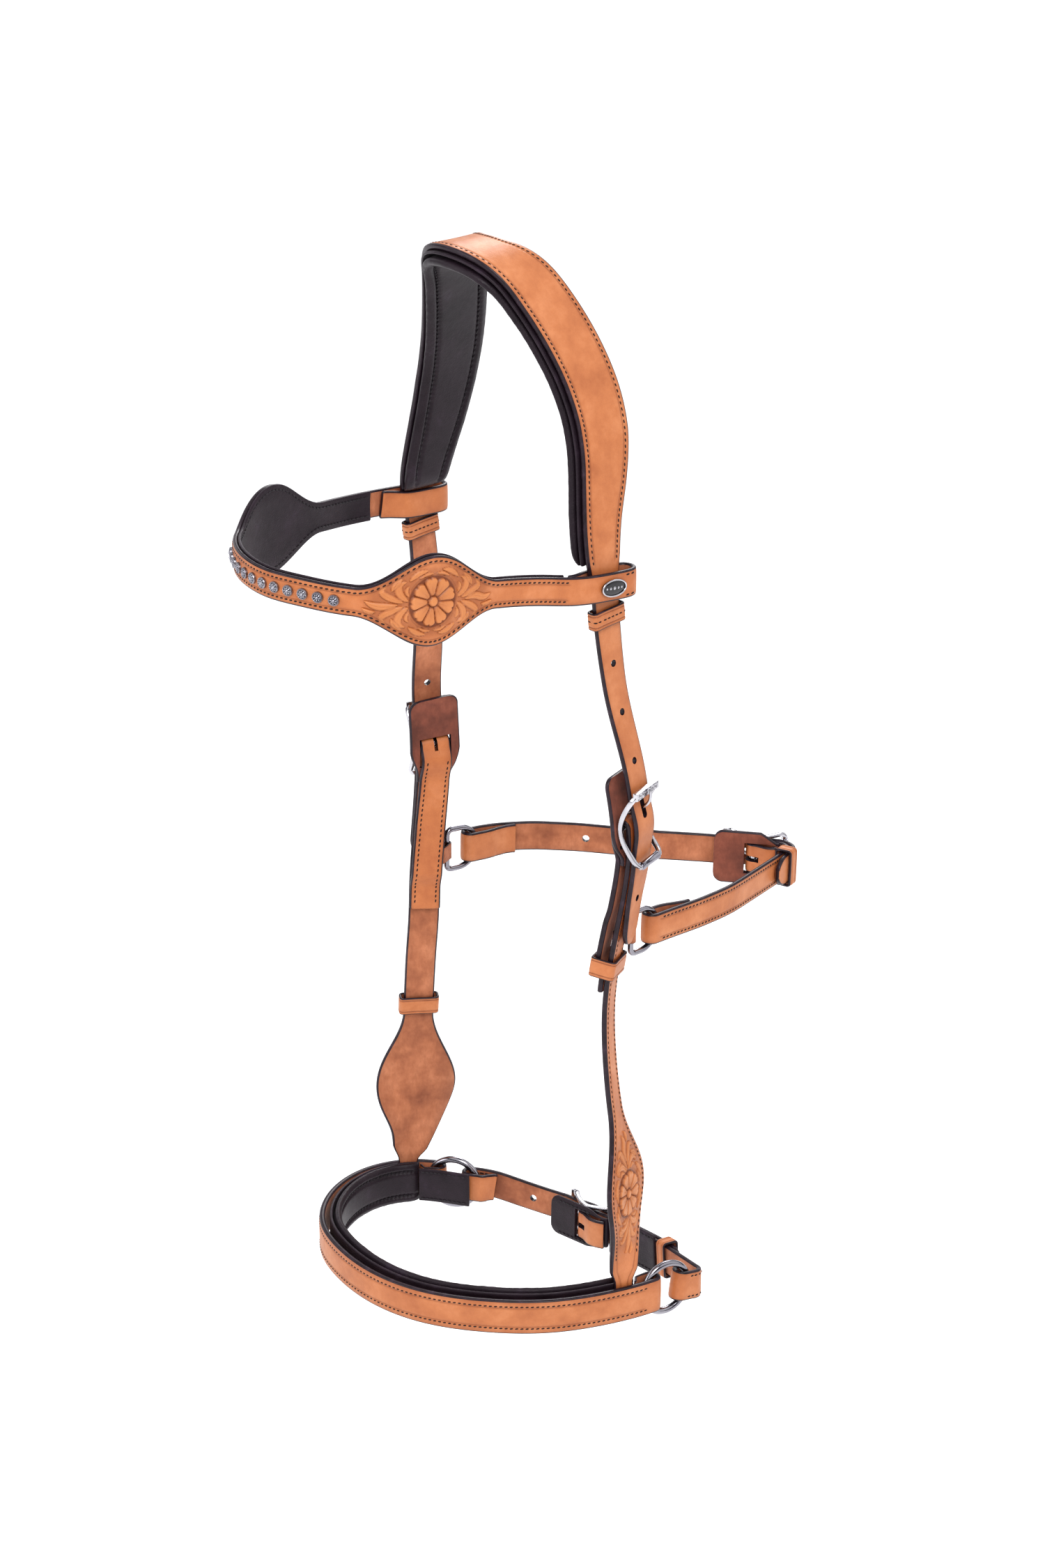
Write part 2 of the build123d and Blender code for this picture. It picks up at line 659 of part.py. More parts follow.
save(near.head_half() + far.head_half(), "headpiece_strap")
pad_layers = zip(near.padding_half(), far.padding_half(), ("flange", "lining", "foam"))
for near_layer, far_layer, layer_name in pad_layers:
    save(near_layer + far_layer, "headpiece_" + layer_name)
for cheek in (near, far):
    cheek.cheekpiece()
    cheek.fittings()

# ------------------------------------------------------------------ browband
BROW_IN = 65.6                          # x of the layer inside the cheek
NEAR_LOOP_Z, FAR_LOOP_Z = 125.5, 131.5  # where the band loops round each cheek
# x, y, z of the band between its loops, from near to far
BROW_FRONT = [
    (71.3, -46.0, 131.0), (68.8, -68.0, 134.6), (68.4, -94.0, 138.2), (67.0, -112.0, 140.2),
    (62.5, -127.5, 141.2), (53.0, -139.0, 142.0), (41.0, -148.0, 143.0),
    (27.0, -154.5, 143.8), (11.0, -158.6, 144.0), (-7.0, -157.5, 144.2),
    (-24.0, -151.5, 144.0), (-42.0, -139.0, 143.2), (-54.0, -124.0, 142.0),
    (-61.0, -106.0, 140.5), (-64.5, -92.0, 139.0), (-69.0, -72.0, 137.0),
    (-74.5, -48.0, 134.5),
]


def brow_end(side, z):
    """One end of the band: back outside the cheek, round behind the strap and forward
    inside it. side is +1 near, -1 far."""
    outer = [(73.6, -31.0, z + 2.6), (75.0, -20.0, z + 1.4), (75.2, -8.0, z + 0.4),
             (75.2, -2.0, z)]
    turn = [(70.4 + 4.8 * math.cos(angle), 3.0 + 4.6 * math.sin(angle), z)
            for angle in np.linspace(0.3, math.pi - 0.3, 7)]
    inner = [(BROW_IN, -3.0, z), (BROW_IN, -10.0, z + 0.3), (BROW_IN + 0.9, -19.0, z + 0.9),
             (BROW_IN + 3.6, -26.0, z + 1.8), (BROW_IN + 4.6, -33.0, z + 2.8)]
    return [(side * x, y, height) for x, y, height in outer + turn + inner]


# near end first, so the normal points out
BROW = edge_path(curve(brow_end(1, NEAR_LOOP_Z)[::-1] + BROW_FRONT + brow_end(-1, FAR_LOOP_Z)))
BROW_LOBES = (BROW.nearest((67.2, -110.0, 140.0)), BROW.nearest((-60.5, -107.0, 140.5)))
STUDS, STUD_STEP = 12, 7.7


def brow_half(dist):
    return swell(BROW_W, BROW_LOBE, max(bump(dist - lobe, 37) for lobe in BROW_LOBES))


def browband_straps():
    def leather(dist):
        return slab(brow_half(dist), -BROW_T / 2, BROW_T / 2)

    def lining(dist):
        return slab(brow_half(dist) + 0.5, -2.9, -1.35)

    save(strap(BROW, 1.5, BROW.length - 1.5, leather, 6.0), "browband_leather")
    start = BROW.nearest((71.6, -45.0, 131.0))
    end = BROW.nearest((-74.2, -49.5, 134.5))
    save(strap(BROW, start, end, lining, 6.0), "browband_lining")


def browband_conchos():
    """A row of studs, centred between the two lobes."""
    studs = []
    for k in range(STUDS):
        dist = (BROW_LOBES[0] + BROW_LOBES[1]) / 2 + (k - (STUDS - 1) / 2) * STUD_STEP
        point, _, normal, _ = BROW.at(dist)
        axis = vec(normal)
        foot = Plane(origin=place(point + 1.5 * normal), z_dir=axis)
        top = Plane(origin=place(point + 2.5 * normal), z_dir=axis)
        base = Solid.make_cylinder(2.7, 1.0, foot)
        dome = Solid.make_cone(2.3, 1.2, 1.0, top)
        studs.append((base + dome).solids()[0])
    save(Compound(children=studs), "browband_conchos")


def browband_badge():
    """An oval plate outside the near loop."""
    point, tangent, normal, _ = BROW.at(BROW.nearest((75.3, -9.0, 125.8)))
    base = plane(point + 1.75 * normal, tangent, normal)
    save(extrude(base * Ellipse(8.0, 4.6), amount=1.3), "browband_badge")


browband_straps()
browband_conchos()
browband_badge()

# ------------------------------------------------------------------ straps under the jaw
# Each has a buckle strap on a near line, running from the middle to the near side, and a
# billet that starts on a far line, from the far side to the middle, and laps over it.
FOLD_INSET = 0.3                        # folds from the outer end of each line


def buckle_strap(name, line, bar, returned, step):
    inner, bar_centre = buckle_fold(line, bar, bar + 15.6)
    path = glue(inner, run(line, bar, line.length - FOLD_INSET), flip(returned))
    body = strap(path, 0, path.length, even(STRAP_W / 2, -JAW_T / 2, JAW_T / 2), step)
    body = body - tongue_slot(path, bar_centre)
    save(biggest(body), name + "_buckle_strap")
    buckle(line, bar, name, JAW_REACH)


def billet_strap(name, far_line, returned, near_line, bar, tip, holes, tip_rise=0.0):
    def lift(dist):
        hump = BAR_RISE * bump(dist - bar, 14)
        return BILLET_LIFT + hump + tip_rise * ease(dist, tip - 16, tip)

    path = glue(returned, run(far_line, FOLD_INSET, far_line.length - 9),
                run(near_line, 3.0, tip, lift))

    def section(dist):
        half = tip_round(STRAP_W / 2, dist, path.length)
        return slab(half, -JAW_BILLET_T / 2, JAW_BILLET_T / 2)

    extra = [path.length - k for k in TIP_STEPS]
    body = strap(path, 0, path.length, section, 6.0, extra)
    slot_at = near_line.point(bar - 8.6, 0, lift(bar - 8.6))
    body = body - hole(path, path.nearest(slot_at), radius=SLOT_R, slot=11.0)
    for spot in holes:
        body = body - hole(path, path.nearest(spot))
    save(biggest(body), name + "_billet_strap")


# ------------------------------------------------------------------ jowl strap
JOWL_FOLD_R = DEE_WIRE + 0.95 + JAW_T / 2
JOWL_REACH = 7.2                        # fold centre from the arc centre of the dee
JOWL_NEAR = edge_path(fillets(
    [(4.0, 112.9, -65.3), (43.2, 147.1, -66.3), (50.5, 126.0, -65.6), (66.5, 80.0, -63.0),
     (71.2, 55.0, -61.2), (73.0, 36.0, -60.0), (73.9, 23.6, -59.6)],
    [6.5, 200, 140, 140, 200]))
JOWL_FAR = edge_path(fillets(
    [(-73.9, 23.6, -62.5), (-72.0, 38.0, -62.8), (-60.0, 58.0, -63.2), (-44.0, 75.0, -63.8),
     (-22.0, 93.0, -64.4), (-4.0, 107.5, -65.0)],
    [60, 60, 90, 200]))
JOWL_BAR = JOWL_NEAR.nearest((27.5, 133.4, -65.9))


def dee(line, end, name):
    """A dee whose rear wire lies in the fold of a strap end; returns its bar centre."""
    fold = line.length - FOLD_INSET if end > 0 else FOLD_INSET
    point, tangent, normal, _ = line.at(fold)
    rear = -end * tangent               # rearward along the strap
    arc = point - JOWL_FOLD_R * normal - JOWL_REACH * rear      # centre of the half circle
    up = unit(np.array([0, 0, 1.0]) - rear[2] * rear)

    def bend(x, y, radius, start, span):
        base = Plane(origin=(x, y, 0), x_dir=(math.cos(start), math.sin(start), 0),
                     z_dir=(0, 0, 1))
        return Solid.make_torus(radius, DEE_WIRE, base, 0, 360, span)

    def stick(x0, y0, x1, y1):
        base = Plane(origin=(x0, y0, 0), z_dir=(x1 - x0, y1 - y0, 0))
        return Solid.make_cylinder(DEE_WIRE, math.hypot(x1 - x0, y1 - y0), base)

    # x is rearward along the strap and y is up: half circle, two legs, two bends, bar
    leg_end, bar_end = DEE_CORNER - DEE_LEG, DEE_R - DEE_CORNER
    body = bend(0, 0, DEE_R, -math.pi / 2, 180)
    body = body + stick(0, DEE_R, leg_end, DEE_R) + stick(0, -DEE_R, leg_end, -DEE_R)
    body = body + bend(leg_end, bar_end, DEE_CORNER, math.pi / 2, 90)
    body = body + bend(leg_end, -bar_end, DEE_CORNER, math.pi, 90)
    body = body + stick(-DEE_LEG, -bar_end, -DEE_LEG, bar_end)
    save(body.moved(Location(plane(arc, rear, np.cross(rear, up)))), name)
    return arc - DEE_LEG * rear


def dee_tab(cheek, dee_bar):
    """A short loop from between the cheek layers round the dee's bar."""
    bar = np.array(dee_bar, float)
    if cheek.flip_x:
        bar[0] = -bar[0]
    point, _, normal, sideways = cheek.line.at(cheek.line.at_z(bar[2]))
    root, mouth = 2.6, 8.9              # across the cheek: tab ends, and where it comes out
    lifts = (-3.2, -2.4)                # of its two layers

    def spot(across, lift):
        x, y, _ = point + across * sideways + lift * normal
        return np.array([x, y, bar[2]])

    mouths = [spot(mouth, lift) for lift in lifts]
    away = unit(bar - (mouths[0] + mouths[1]) / 2)
    beside = np.array([-away[1], away[0], 0.0])
    radius = DEE_WIRE + 0.25 + 0.4
    arc = [bar + radius * (math.cos(angle) * away + math.sin(angle) * beside)
           for angle in np.linspace(-2.2, 2.2, 19)]
    # start on the layer nearer the start of the arc, so the loop does not cross itself
    gap0, gap1 = (np.linalg.norm(arc[0] - spot_) for spot_ in mouths)
    first, last = lifts if gap0 < gap1 else lifts[::-1]
    corners = [spot(root, first), spot(mouth, first)] + arc
    corners += [spot(mouth, last), spot(root, last)]
    points = []
    for start, end in zip(corners, corners[1:]):
        count = max(2, int(np.linalg.norm(end - start) / 0.35))
        points += [start + (end - start) * i / count for i in range(count)]
    points.append(corners[-1])
    path = edge_path(np.array(points))
    body = strap(path, 0, path.length, even(3.8, -0.275, 0.275), 4.0)
    save(body, cheek.prefix + "_dee_tab", cheek.flip_x)


def jowl_strap():
    near_fold = JOWL_NEAR.length - FOLD_INSET
    near_return = turn_back(JOWL_NEAR, near_fold, JOWL_FOLD_R, near_fold - 26,
                            -JAW_T - 0.3, 1)
    far_return = turn_back(JOWL_FAR, FOLD_INSET, JOWL_FOLD_R, FOLD_INSET + 27,
                           -JAW_T - 0.3, -1)
    buckle_strap("jowl", JOWL_NEAR, JOWL_BAR, near_return, step=6.0)
    guard(JOWL_NEAR, JOWL_BAR, "jowl", before=20.5, after=15.5, half=14.6)
    billet_strap("jowl", JOWL_FAR, far_return, JOWL_NEAR, JOWL_BAR, tip=JOWL_BAR + 41,
                 holes=[(-41.0, 78.0, -64.0), (-22.0, 93.5, -64.0)], tip_rise=0.8)
    keeper(JOWL_NEAR, JOWL_BAR + 27.5, half=8.7, low=-1.9, high=5.0, tall=7.0,
           name="jowl_keeper", wall=1.4)


jowl_strap()
dee_tab(near, dee(JOWL_NEAR, 1, "near_jowl_dee"))
dee_tab(far, dee(JOWL_FAR, -1, "far_jowl_dee"))

# ------------------------------------------------------------------ chin strap, ring to ring
CHIN_FOLD_R = RING_WIRE + 0.75 + JAW_T / 2
CHIN_REACH = 9.0                        # fold centre from the ring centre


def ring_fold(ring):
    """Where the chin strap's outer layer meets its fold, behind the ring."""
    centre, rear, normal = ring
    return centre + CHIN_REACH * rear + CHIN_FOLD_R * normal


def chin_strap():
    near_end, far_end = ring_fold(near_ring), ring_fold(far_ring)
    near_line = edge_path(fillets(
        [(-17.5, 39.6, -259.0), (20.0, 46.2, -260.0), (52.0, 48.5, -260.0),
         (near_end[0] + 0.3, 40.2, -255.4), (near_end[0], near_end[1], -253.4)],
        [200, 90, 6.0]))
    far_line = edge_path(fillets(
        [far_end, far_end + 12.0 * far_ring[1] + np.array([0, 0, -0.3]),
         (-36.0, 34.2, -257.5), (-15.5, 42.4, -259.0)],
        [60, 90]))
    bar = near_line.nearest((3.5, 43.5, -259.6))
    near_fold = near_line.length - FOLD_INSET
    near_return = turn_back(near_line, near_fold, CHIN_FOLD_R, near_fold - 4.0,
                            -2 * CHIN_FOLD_R, 1)
    far_return = turn_back(far_line, FOLD_INSET, CHIN_FOLD_R, 14.0, -JAW_T - 0.6, -1)
    buckle_strap("chin", near_line, bar, near_return, step=5.0)
    guard(near_line, bar, "chin", before=21.0, after=15.5, half=11.4)
    pad = strap(near_line, bar + 16.2, bar + 50.2, even(11.4, -3.1, -1.65), 6.0)
    save(pad, "chin_pad")
    billet_strap("chin", far_line, far_return, near_line, bar, tip=bar + 66,
                 holes=[(-33.0, 36.0, -258.0), (30.0, 51.0, -258.0)])
    keeper(near_line, bar + 56.0, half=8.7, low=-1.9, high=4.8, tall=7.0,
           name="chin_keeper", wall=1.4)


chin_strap()
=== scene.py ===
"""Bitless bridle (side-pull hackamore): leather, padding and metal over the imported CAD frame.

Lengths are millimetres in a head frame: +X is the horse's near side, -Y is forward to the nose
and +Z is up. place() turns them into the row frame, in metres with the poll at the origin.
On a strap, pos is the distance along its path, side the distance across it from the middle,
and out the distance out of its grain side.
"""
import json
import math

import bmesh
import bpy
import numpy as np
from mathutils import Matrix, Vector


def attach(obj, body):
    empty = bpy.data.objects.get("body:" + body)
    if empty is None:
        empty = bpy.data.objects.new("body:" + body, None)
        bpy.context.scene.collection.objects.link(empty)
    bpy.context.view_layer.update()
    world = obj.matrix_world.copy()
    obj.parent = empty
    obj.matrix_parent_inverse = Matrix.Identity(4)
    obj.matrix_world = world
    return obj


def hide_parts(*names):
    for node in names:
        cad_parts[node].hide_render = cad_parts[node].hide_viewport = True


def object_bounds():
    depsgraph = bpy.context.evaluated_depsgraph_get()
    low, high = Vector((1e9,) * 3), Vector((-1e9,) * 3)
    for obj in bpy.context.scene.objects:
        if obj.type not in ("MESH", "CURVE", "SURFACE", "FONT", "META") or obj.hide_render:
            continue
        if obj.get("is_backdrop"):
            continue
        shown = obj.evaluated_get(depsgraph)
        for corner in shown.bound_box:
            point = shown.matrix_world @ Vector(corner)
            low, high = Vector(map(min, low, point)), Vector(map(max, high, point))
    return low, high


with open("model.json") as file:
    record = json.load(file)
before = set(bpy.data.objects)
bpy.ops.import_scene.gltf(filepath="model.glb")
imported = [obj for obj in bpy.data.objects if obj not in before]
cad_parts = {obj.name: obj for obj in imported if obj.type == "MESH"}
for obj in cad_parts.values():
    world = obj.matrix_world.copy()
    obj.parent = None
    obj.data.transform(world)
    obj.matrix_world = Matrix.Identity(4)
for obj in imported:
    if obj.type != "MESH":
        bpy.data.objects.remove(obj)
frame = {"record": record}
CAD_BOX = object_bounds()
BODIES = frame["record"]["behaviour"]["bodies"]
BODY_OF = {node: body for body, nodes in BODIES.items() for node in nodes}

POLL = np.array([0.0, -31.5, 268.0])
MIRROR = np.array([-1.0, 1.0, 1.0])

# Leather
STRAP_WIDTH = 16.0
STRAP_HALF = STRAP_WIDTH / 2
BILLET_THICK, CHAPE_THICK, CROWN_THICK = 2.6, 2.8, 3.2
SMALL_THICK, SMALL_BILLET_THICK = 2.5, 2.4      # jowl and chin straps
NOSE_HALF, NOSE_THICK, NOSE_Z = 9.5, 3.0, -253.0
BROW_WIDTH, LOBE_WIDTH = 14.0, 43.0
FLANGE_THICK, ROLL_GAP = 1.5, 0.1
HOLE_RADIUS, PUNCH_RADIUS = 1.9, 1.7
FAR_DROP = 6.0                                  # the far cheek hangs lower

# Buckles: reach is along the strap from the bar to either end of the frame
BAR_OUT = -(1.3 + 0.15 + CHAPE_THICK / 2)
WIRE_RADIUS, ROLLER_RADIUS = 1.3, 2.05
REACH, SMALL_REACH, FRAME_HALF = 18.5, 15.0, 10.3
END_OUT = CHAPE_THICK / 2 + 0.25 + BILLET_THICK + 0.3 + ROLLER_RADIUS
BILLET_OUT = CHAPE_THICK / 2 + 0.25 + BILLET_THICK / 2

# Rings and dees
RING_RADIUS, RING_WIRE = 13.2, 1.8
DEE_RADIUS, DEE_WIRE, DEE_LEG, DEE_CORNER = 11.0, 1.5, 7.0, 3.0


# ------------------------------------------------------------------ curves
def lengths(points):
    """Distance along the points up to each one, over their first three columns."""
    steps = np.linalg.norm(np.diff(points[:, :3], axis=0), axis=1)
    return np.r_[0, np.cumsum(steps)]


def unit(vectors):
    return vectors / np.linalg.norm(vectors, axis=-1, keepdims=True)


def square_to(vectors, along):
    """Unit vectors with their part along the given directions taken out."""
    return unit(vectors - (vectors * along).sum(1, keepdims=True) * along)


def fixed(value):
    """A function of pos from a number, or the function itself."""
    return value if callable(value) else lambda pos: value


def natural_spline(knots, values, x):
    count, gap = len(knots), np.diff(knots)
    matrix, rhs = np.zeros((count, count)), np.zeros(count)
    matrix[0, 0] = matrix[-1, -1] = 1
    for i in range(1, count - 1):
        matrix[i, i - 1:i + 2] = gap[i - 1], 2 * (gap[i - 1] + gap[i]), gap[i]
    rhs[1:-1] = 6 * np.diff(np.diff(values) / gap)
    bend = np.linalg.solve(matrix, rhs)
    k = np.clip(np.searchsorted(knots, x, side="right") - 1, 0, count - 2)
    past, left, span = x - knots[k], knots[k + 1] - x, gap[k]
    return ((bend[k] * left**3 + bend[k + 1] * past**3) / (6 * span)
            + (values[k] / span - bend[k] * span / 6) * left
            + (values[k + 1] / span - bend[k + 1] * span / 6) * past)


def curve(points, step=0.5):
    """A smooth curve through the points; columns after the third follow along."""
    table = np.array(points, float)
    knots = lengths(table)
    x = np.linspace(0, knots[-1], max(8, int(knots[-1] / step)))
    return np.stack([natural_spline(knots, column, x) for column in table.T], 1)


class Path:
    """A middle line with three directions: along, normal (out of the grain side), across."""

    def __init__(self, centre, normal):
        self.centre = np.asarray(centre, float)
        self.dist = lengths(self.centre)
        self.length = self.dist[-1]
        self.along = unit(np.gradient(self.centre, axis=0))
        self.normal = square_to(np.asarray(normal, float), self.along)
        self.across = np.cross(self.normal, self.along)

    def at(self, pos):
        """Centre, along, normal and across at one pos or at an array of them."""
        centre, along, normal, across = (
            np.stack([np.interp(pos, self.dist, column) for column in table.T], -1)
            for table in (self.centre, self.along, self.normal, self.across))
        return centre, unit(along), unit(normal), unit(across)

    def point(self, pos, side=0.0, out=0.0):
        centre, _, normal, across = self.at(pos)
        return centre + side * across + out * normal

    def near(self, point):
        gaps = np.linalg.norm(self.centre - np.asarray(point, float), axis=1)
        return float(self.dist[np.argmin(gaps)])


def edge_path(centre):
    """A strap standing on edge: its normal is level, to the left of the way it runs."""
    along = np.gradient(centre, axis=0)
    return Path(centre, np.stack([-along[:, 1], along[:, 0], 0 * along[:, 0]], 1))


def angle_between(first, second):
    return math.acos(max(-1, min(1, float(first @ second))))


def stations(path, start, end, step):
    """Stations from start to end, closer where the path turns."""
    out = [start]
    _, last_along, last_normal, _ = path.at(start)
    for pos in np.arange(start + 0.5, end, 0.5):
        _, along, normal, _ = path.at(pos)
        bend = angle_between(along, last_along) + angle_between(normal, last_normal)
        if pos - out[-1] >= step or bend > 0.12:
            out.append(float(pos))
            last_along, last_normal = along, normal
    if end - out[-1] < 0.4 and len(out) > 1:
        out[-1] = end
    else:
        out.append(end)
    return out


def tidy(spots):
    """Sorted stations with crowded ones dropped, as an array."""
    spots = sorted(set(round(float(x), 3) for x in spots))
    out = [spots[0]]
    for x in spots[1:]:
        if x - out[-1] > 0.12:
            out.append(x)
    if len(out) > 1 and spots[-1] - out[-1] > 1e-6:
        out[-1] = spots[-1]
    return np.array(out)


def bell(x, half):
    x = abs(x) / half
    return 0.0 if x >= 1 else 0.5 + 0.5 * math.cos(math.pi * x)


def ease(x, start, end):
    k = min(1.0, max(0.0, (x - start) / (end - start)))
    return k * k * (3 - 2 * k)


def between(rise, fall):
    """A function of pos that climbs to 1 over rise and drops back to 0 over fall."""
    return lambda pos: ease(pos, *rise) * (1 - ease(pos, *fall))


def fillets(points, radii):
    """Straight runs between the points with an arc of the given radius at each inner corner."""
    points = [np.array(point, float) for point in points]
    out = [points[0]]
    for before, corner, after, radius in zip(points, points[1:], points[2:], radii):
        back, ahead = unit(before - corner), unit(after - corner)
        angle = angle_between(back, ahead)
        cut = radius / math.tan(angle / 2)
        centre = corner + unit(back + ahead) * radius / math.sin(angle / 2)
        first, last = corner + back * cut - centre, corner + ahead * cut - centre
        turn = math.pi - angle
        for part in np.linspace(0, 1, max(4, int(turn / 0.08))):
            mixed = math.sin((1 - part) * turn) * first + math.sin(part * turn) * last
            out.append(centre + mixed / math.sin(turn))
    out = np.array(out + [points[-1]])
    dist = lengths(out)
    x = np.linspace(0, dist[-1], int(dist[-1] / 0.5))
    return np.stack([np.interp(x, dist, column) for column in out.T], 1)


def subdivide(points, gap, least=1):
    """Points along the runs between the given ones, without the very last."""
    points = np.array(points)
    out = []
    sizes = np.linalg.norm(points[1:] - points[:-1], axis=1)
    for start, end, size in zip(points, points[1:], sizes):
        count = max(least, int(size / gap))
        out += [start + (end - start) * i / count for i in range(count)]
    return out


# A piece of a folded strap is a pair: its points and its normals.
def half_round(line, pos, radius, end, turns):
    """A half circle under the line from its inner layer out to the line; end is the way it bulges."""
    centre, along, normal, _ = line.at(pos)
    spokes = np.array([end * math.sin(turn) * along - math.cos(turn) * normal for turn in turns])
    return centre - radius * normal + radius * spokes, spokes


def stack_pieces(*pieces):
    return tuple(np.vstack(column) for column in zip(*pieces))


def turn_back(line, bend, radius, back, back_out, end):
    """The return of a strap end: the layer under the line from back, then the fold at bend."""
    points, normals = [], []
    for pos in np.arange(back, bend, 0.4 * np.sign(bend - back)):
        rise = ease(abs(pos - bend), radius * 1.6, abs(back - bend))
        points.append(line.point(pos, 0, -2 * radius + (back_out + 2 * radius) * rise))
        normals.append(-line.at(pos)[2])
    fold = half_round(line, bend, radius, end, np.linspace(0, math.pi, 21))
    return stack_pieces((points, normals), fold)


def folded(*pieces):
    """One path through the pieces, with doubled points dropped."""
    points, normals = stack_pieces(*pieces)
    keep = [0]
    for k in range(1, len(points)):
        if np.linalg.norm(points[k] - points[keep[-1]]) > 0.15:
            keep.append(k)
    return Path(points[keep], normals[keep])


def run(line, start, end, out=0.0):
    out, spots = fixed(out), np.arange(start, end, 0.5)
    return np.array([line.point(pos, 0, out(pos)) for pos in spots]), line.at(spots)[2]


def backward(piece):
    return piece[0][::-1], piece[1][::-1]


def chape(line, bar, inner, tab=None):
    """The inner layer from its free end up to the buckle bar and the fold round the bar.
    tab is how far past the bar a dee tab is let in."""
    radius = -BAR_OUT
    points, normals = [], []
    for pos in np.arange(inner, bar, -0.5):
        past = pos - bar
        out = -2 * radius - 2.6 * ease(past, 0, 8) + 2.7 * ease(past, 9, 20)
        if tab is not None:
            out += -0.9 * ease(past, tab - 19, tab - 9) + 3.35 * ease(past, tab + 7.5, tab + 16)
        points.append(line.point(pos, 0, out))
        normals.append(-line.at(pos)[2])
    fold = half_round(line, bar, radius, -1, np.linspace(0, math.pi, 25)[1:-1])
    return stack_pieces((points, normals), fold), line.point(bar, 0, BAR_OUT)


def slot_span(path, bar):
    """Start, end and half width of the tongue's slot on a folded strap."""
    gaps = np.linalg.norm(path.centre - bar, axis=1)
    close = np.where(gaps < -BAR_OUT + 0.12)[0]
    pos = float(path.dist[close[len(close) // 2]])
    return pos - 8.2, pos + 8.2, 1.5


def tip_round(half, pos, end):
    """The half width, drawn in over the last 9 mm to a round tip."""
    if pos <= end - 9:
        return half
    return half * math.sqrt(max(0.12, 1 - ((pos - end + 9) / 9.6) ** 2))


# ------------------------------------------------------------------ mesh tools
def place(points):
    return (np.asarray(points, float) - POLL) / 1000.0


def add_object(name, data):
    made = bpy.data.objects.new(name, data)
    bpy.context.scene.collection.objects.link(made)
    return made


def vertex_value(mesh, name, values):
    layer = mesh.attributes.new(name, "FLOAT", "POINT")
    layer.data.foreach_set("value", np.asarray(values, np.float32))


def loop_vertices(mesh):
    out = np.zeros(len(mesh.loops), np.int32)
    mesh.loops.foreach_get("vertex_index", out)
    return out


def mesh_object(name, shape, mats, index=None, uv=None, edge_dark_groove_shade=None, mirror=False, smooth=52):
    """An object from (vertices, faces) in the head frame; uv and edge_dark_groove_shade are per vertex."""
    verts, faces = shape
    if mirror:
        verts = verts * MIRROR
        faces = [tuple(reversed(face)) for face in faces]
    mesh = bpy.data.meshes.new(name)
    mesh.from_pydata(place(verts).tolist(), [], [tuple(int(i) for i in face) for face in faces])
    for mat in mats:
        mesh.materials.append(mat)
    if index is not None:
        mesh.polygons.foreach_set("material_index", np.array(index, np.int32))
    if uv is not None:
        layer = mesh.uv_layers.new(name="UVMap")
        layer.data.foreach_set("uv", np.asarray(uv, np.float32)[loop_vertices(mesh)].ravel())
    if edge_dark_groove_shade is not None:
        vertex_value(mesh, "edge_dark_groove_shade", edge_dark_groove_shade)
    mesh.polygons.foreach_set("use_smooth", [True] * len(mesh.polygons))
    mesh.set_sharp_from_angle(angle=math.radians(smooth))
    mesh.validate()
    return add_object(name, mesh)


def ride_with(piece, node):
    """The piece rides on the body of a CAD node."""
    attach(piece, BODY_OF[node])


def stand_for(piece, node, *more):
    ride_with(piece, node)
    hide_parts(node, *more)


def outward(verts, faces):
    """The faces, all turned round if they would enclose a negative volume."""
    verts = verts - verts.mean(0)
    fans = np.array([(face[0], face[k], face[k + 1]) for face in faces
                     for k in range(1, len(face) - 1)])
    volume = (verts[fans[:, 0]] * np.cross(verts[fans[:, 1]], verts[fans[:, 2]])).sum()
    return faces if volume > 0 else [tuple(reversed(face)) for face in faces]


def wall_faces(rows, around, closed=False):
    """Quads between rings of vertices; an open run gets a cap at each end."""
    faces = []
    for k in range(rows if closed else rows - 1):
        this, after = k * around, (k + 1) % rows * around
        for j in range(around):
            j2 = (j + 1) % around
            faces.append((this + j, this + j2, after + j2, after + j))
    if not closed:
        faces.append(tuple(range(around))[::-1])
        faces.append(tuple(range((rows - 1) * around, rows * around)))
    return faces


def dome_faces(rings, around):
    """A fan round vertex 0, quads between the rings after it and a cap over the last ring."""
    faces = [(0, 1 + j, 1 + (j + 1) % around) for j in range(around)]
    for i in range(rings - 1):
        this, after = 1 + i * around, 1 + (i + 1) * around
        for j in range(around):
            j2 = (j + 1) % around
            faces.append((this + j, after + j, after + j2, this + j2))
    faces.append(tuple(1 + (rings - 1) * around + j for j in range(around))[::-1])
    return faces


def join(parts):
    all_verts, all_faces, count = [], [], 0
    for verts, faces in parts:
        all_verts.append(verts)
        all_faces += [tuple(i + count for i in face) for face in faces]
        count += len(verts)
    return np.vstack(all_verts), all_faces


def open_slot(faces, index, grid, spots, slot, holes):
    """Takes the slot's faces off the face and the back and walls the opening."""
    top, low = holes
    first, last = (int(np.argmin(abs(spots - end))) for end in slot[:2])
    around = grid.shape[1]
    gone = {r * around + j for start, end in holes for r in range(first, last)
            for j in range(start, end)}
    index = np.array([value for k, value in enumerate(index) if k not in gone])
    faces = [face for k, face in enumerate(faces) if k not in gone]
    walls = []
    # side rises over the columns of the face and falls over those of the back
    for r in range(first, last):
        this, after = grid[r], grid[r + 1]
        walls.append((this[top[0]], this[low[1]], after[low[1]], after[top[0]]))
        walls.append((after[top[1]], after[low[0]], this[low[0]], this[top[1]]))
    for r, turn in ((first, 1), (last, -1)):
        loop = [*grid[r, top[0]:top[1] + 1], *grid[r, low[0]:low[1] + 1]]
        walls.append(tuple(loop[::turn]))
    return faces + walls, np.r_[index, [1] * len(walls)]


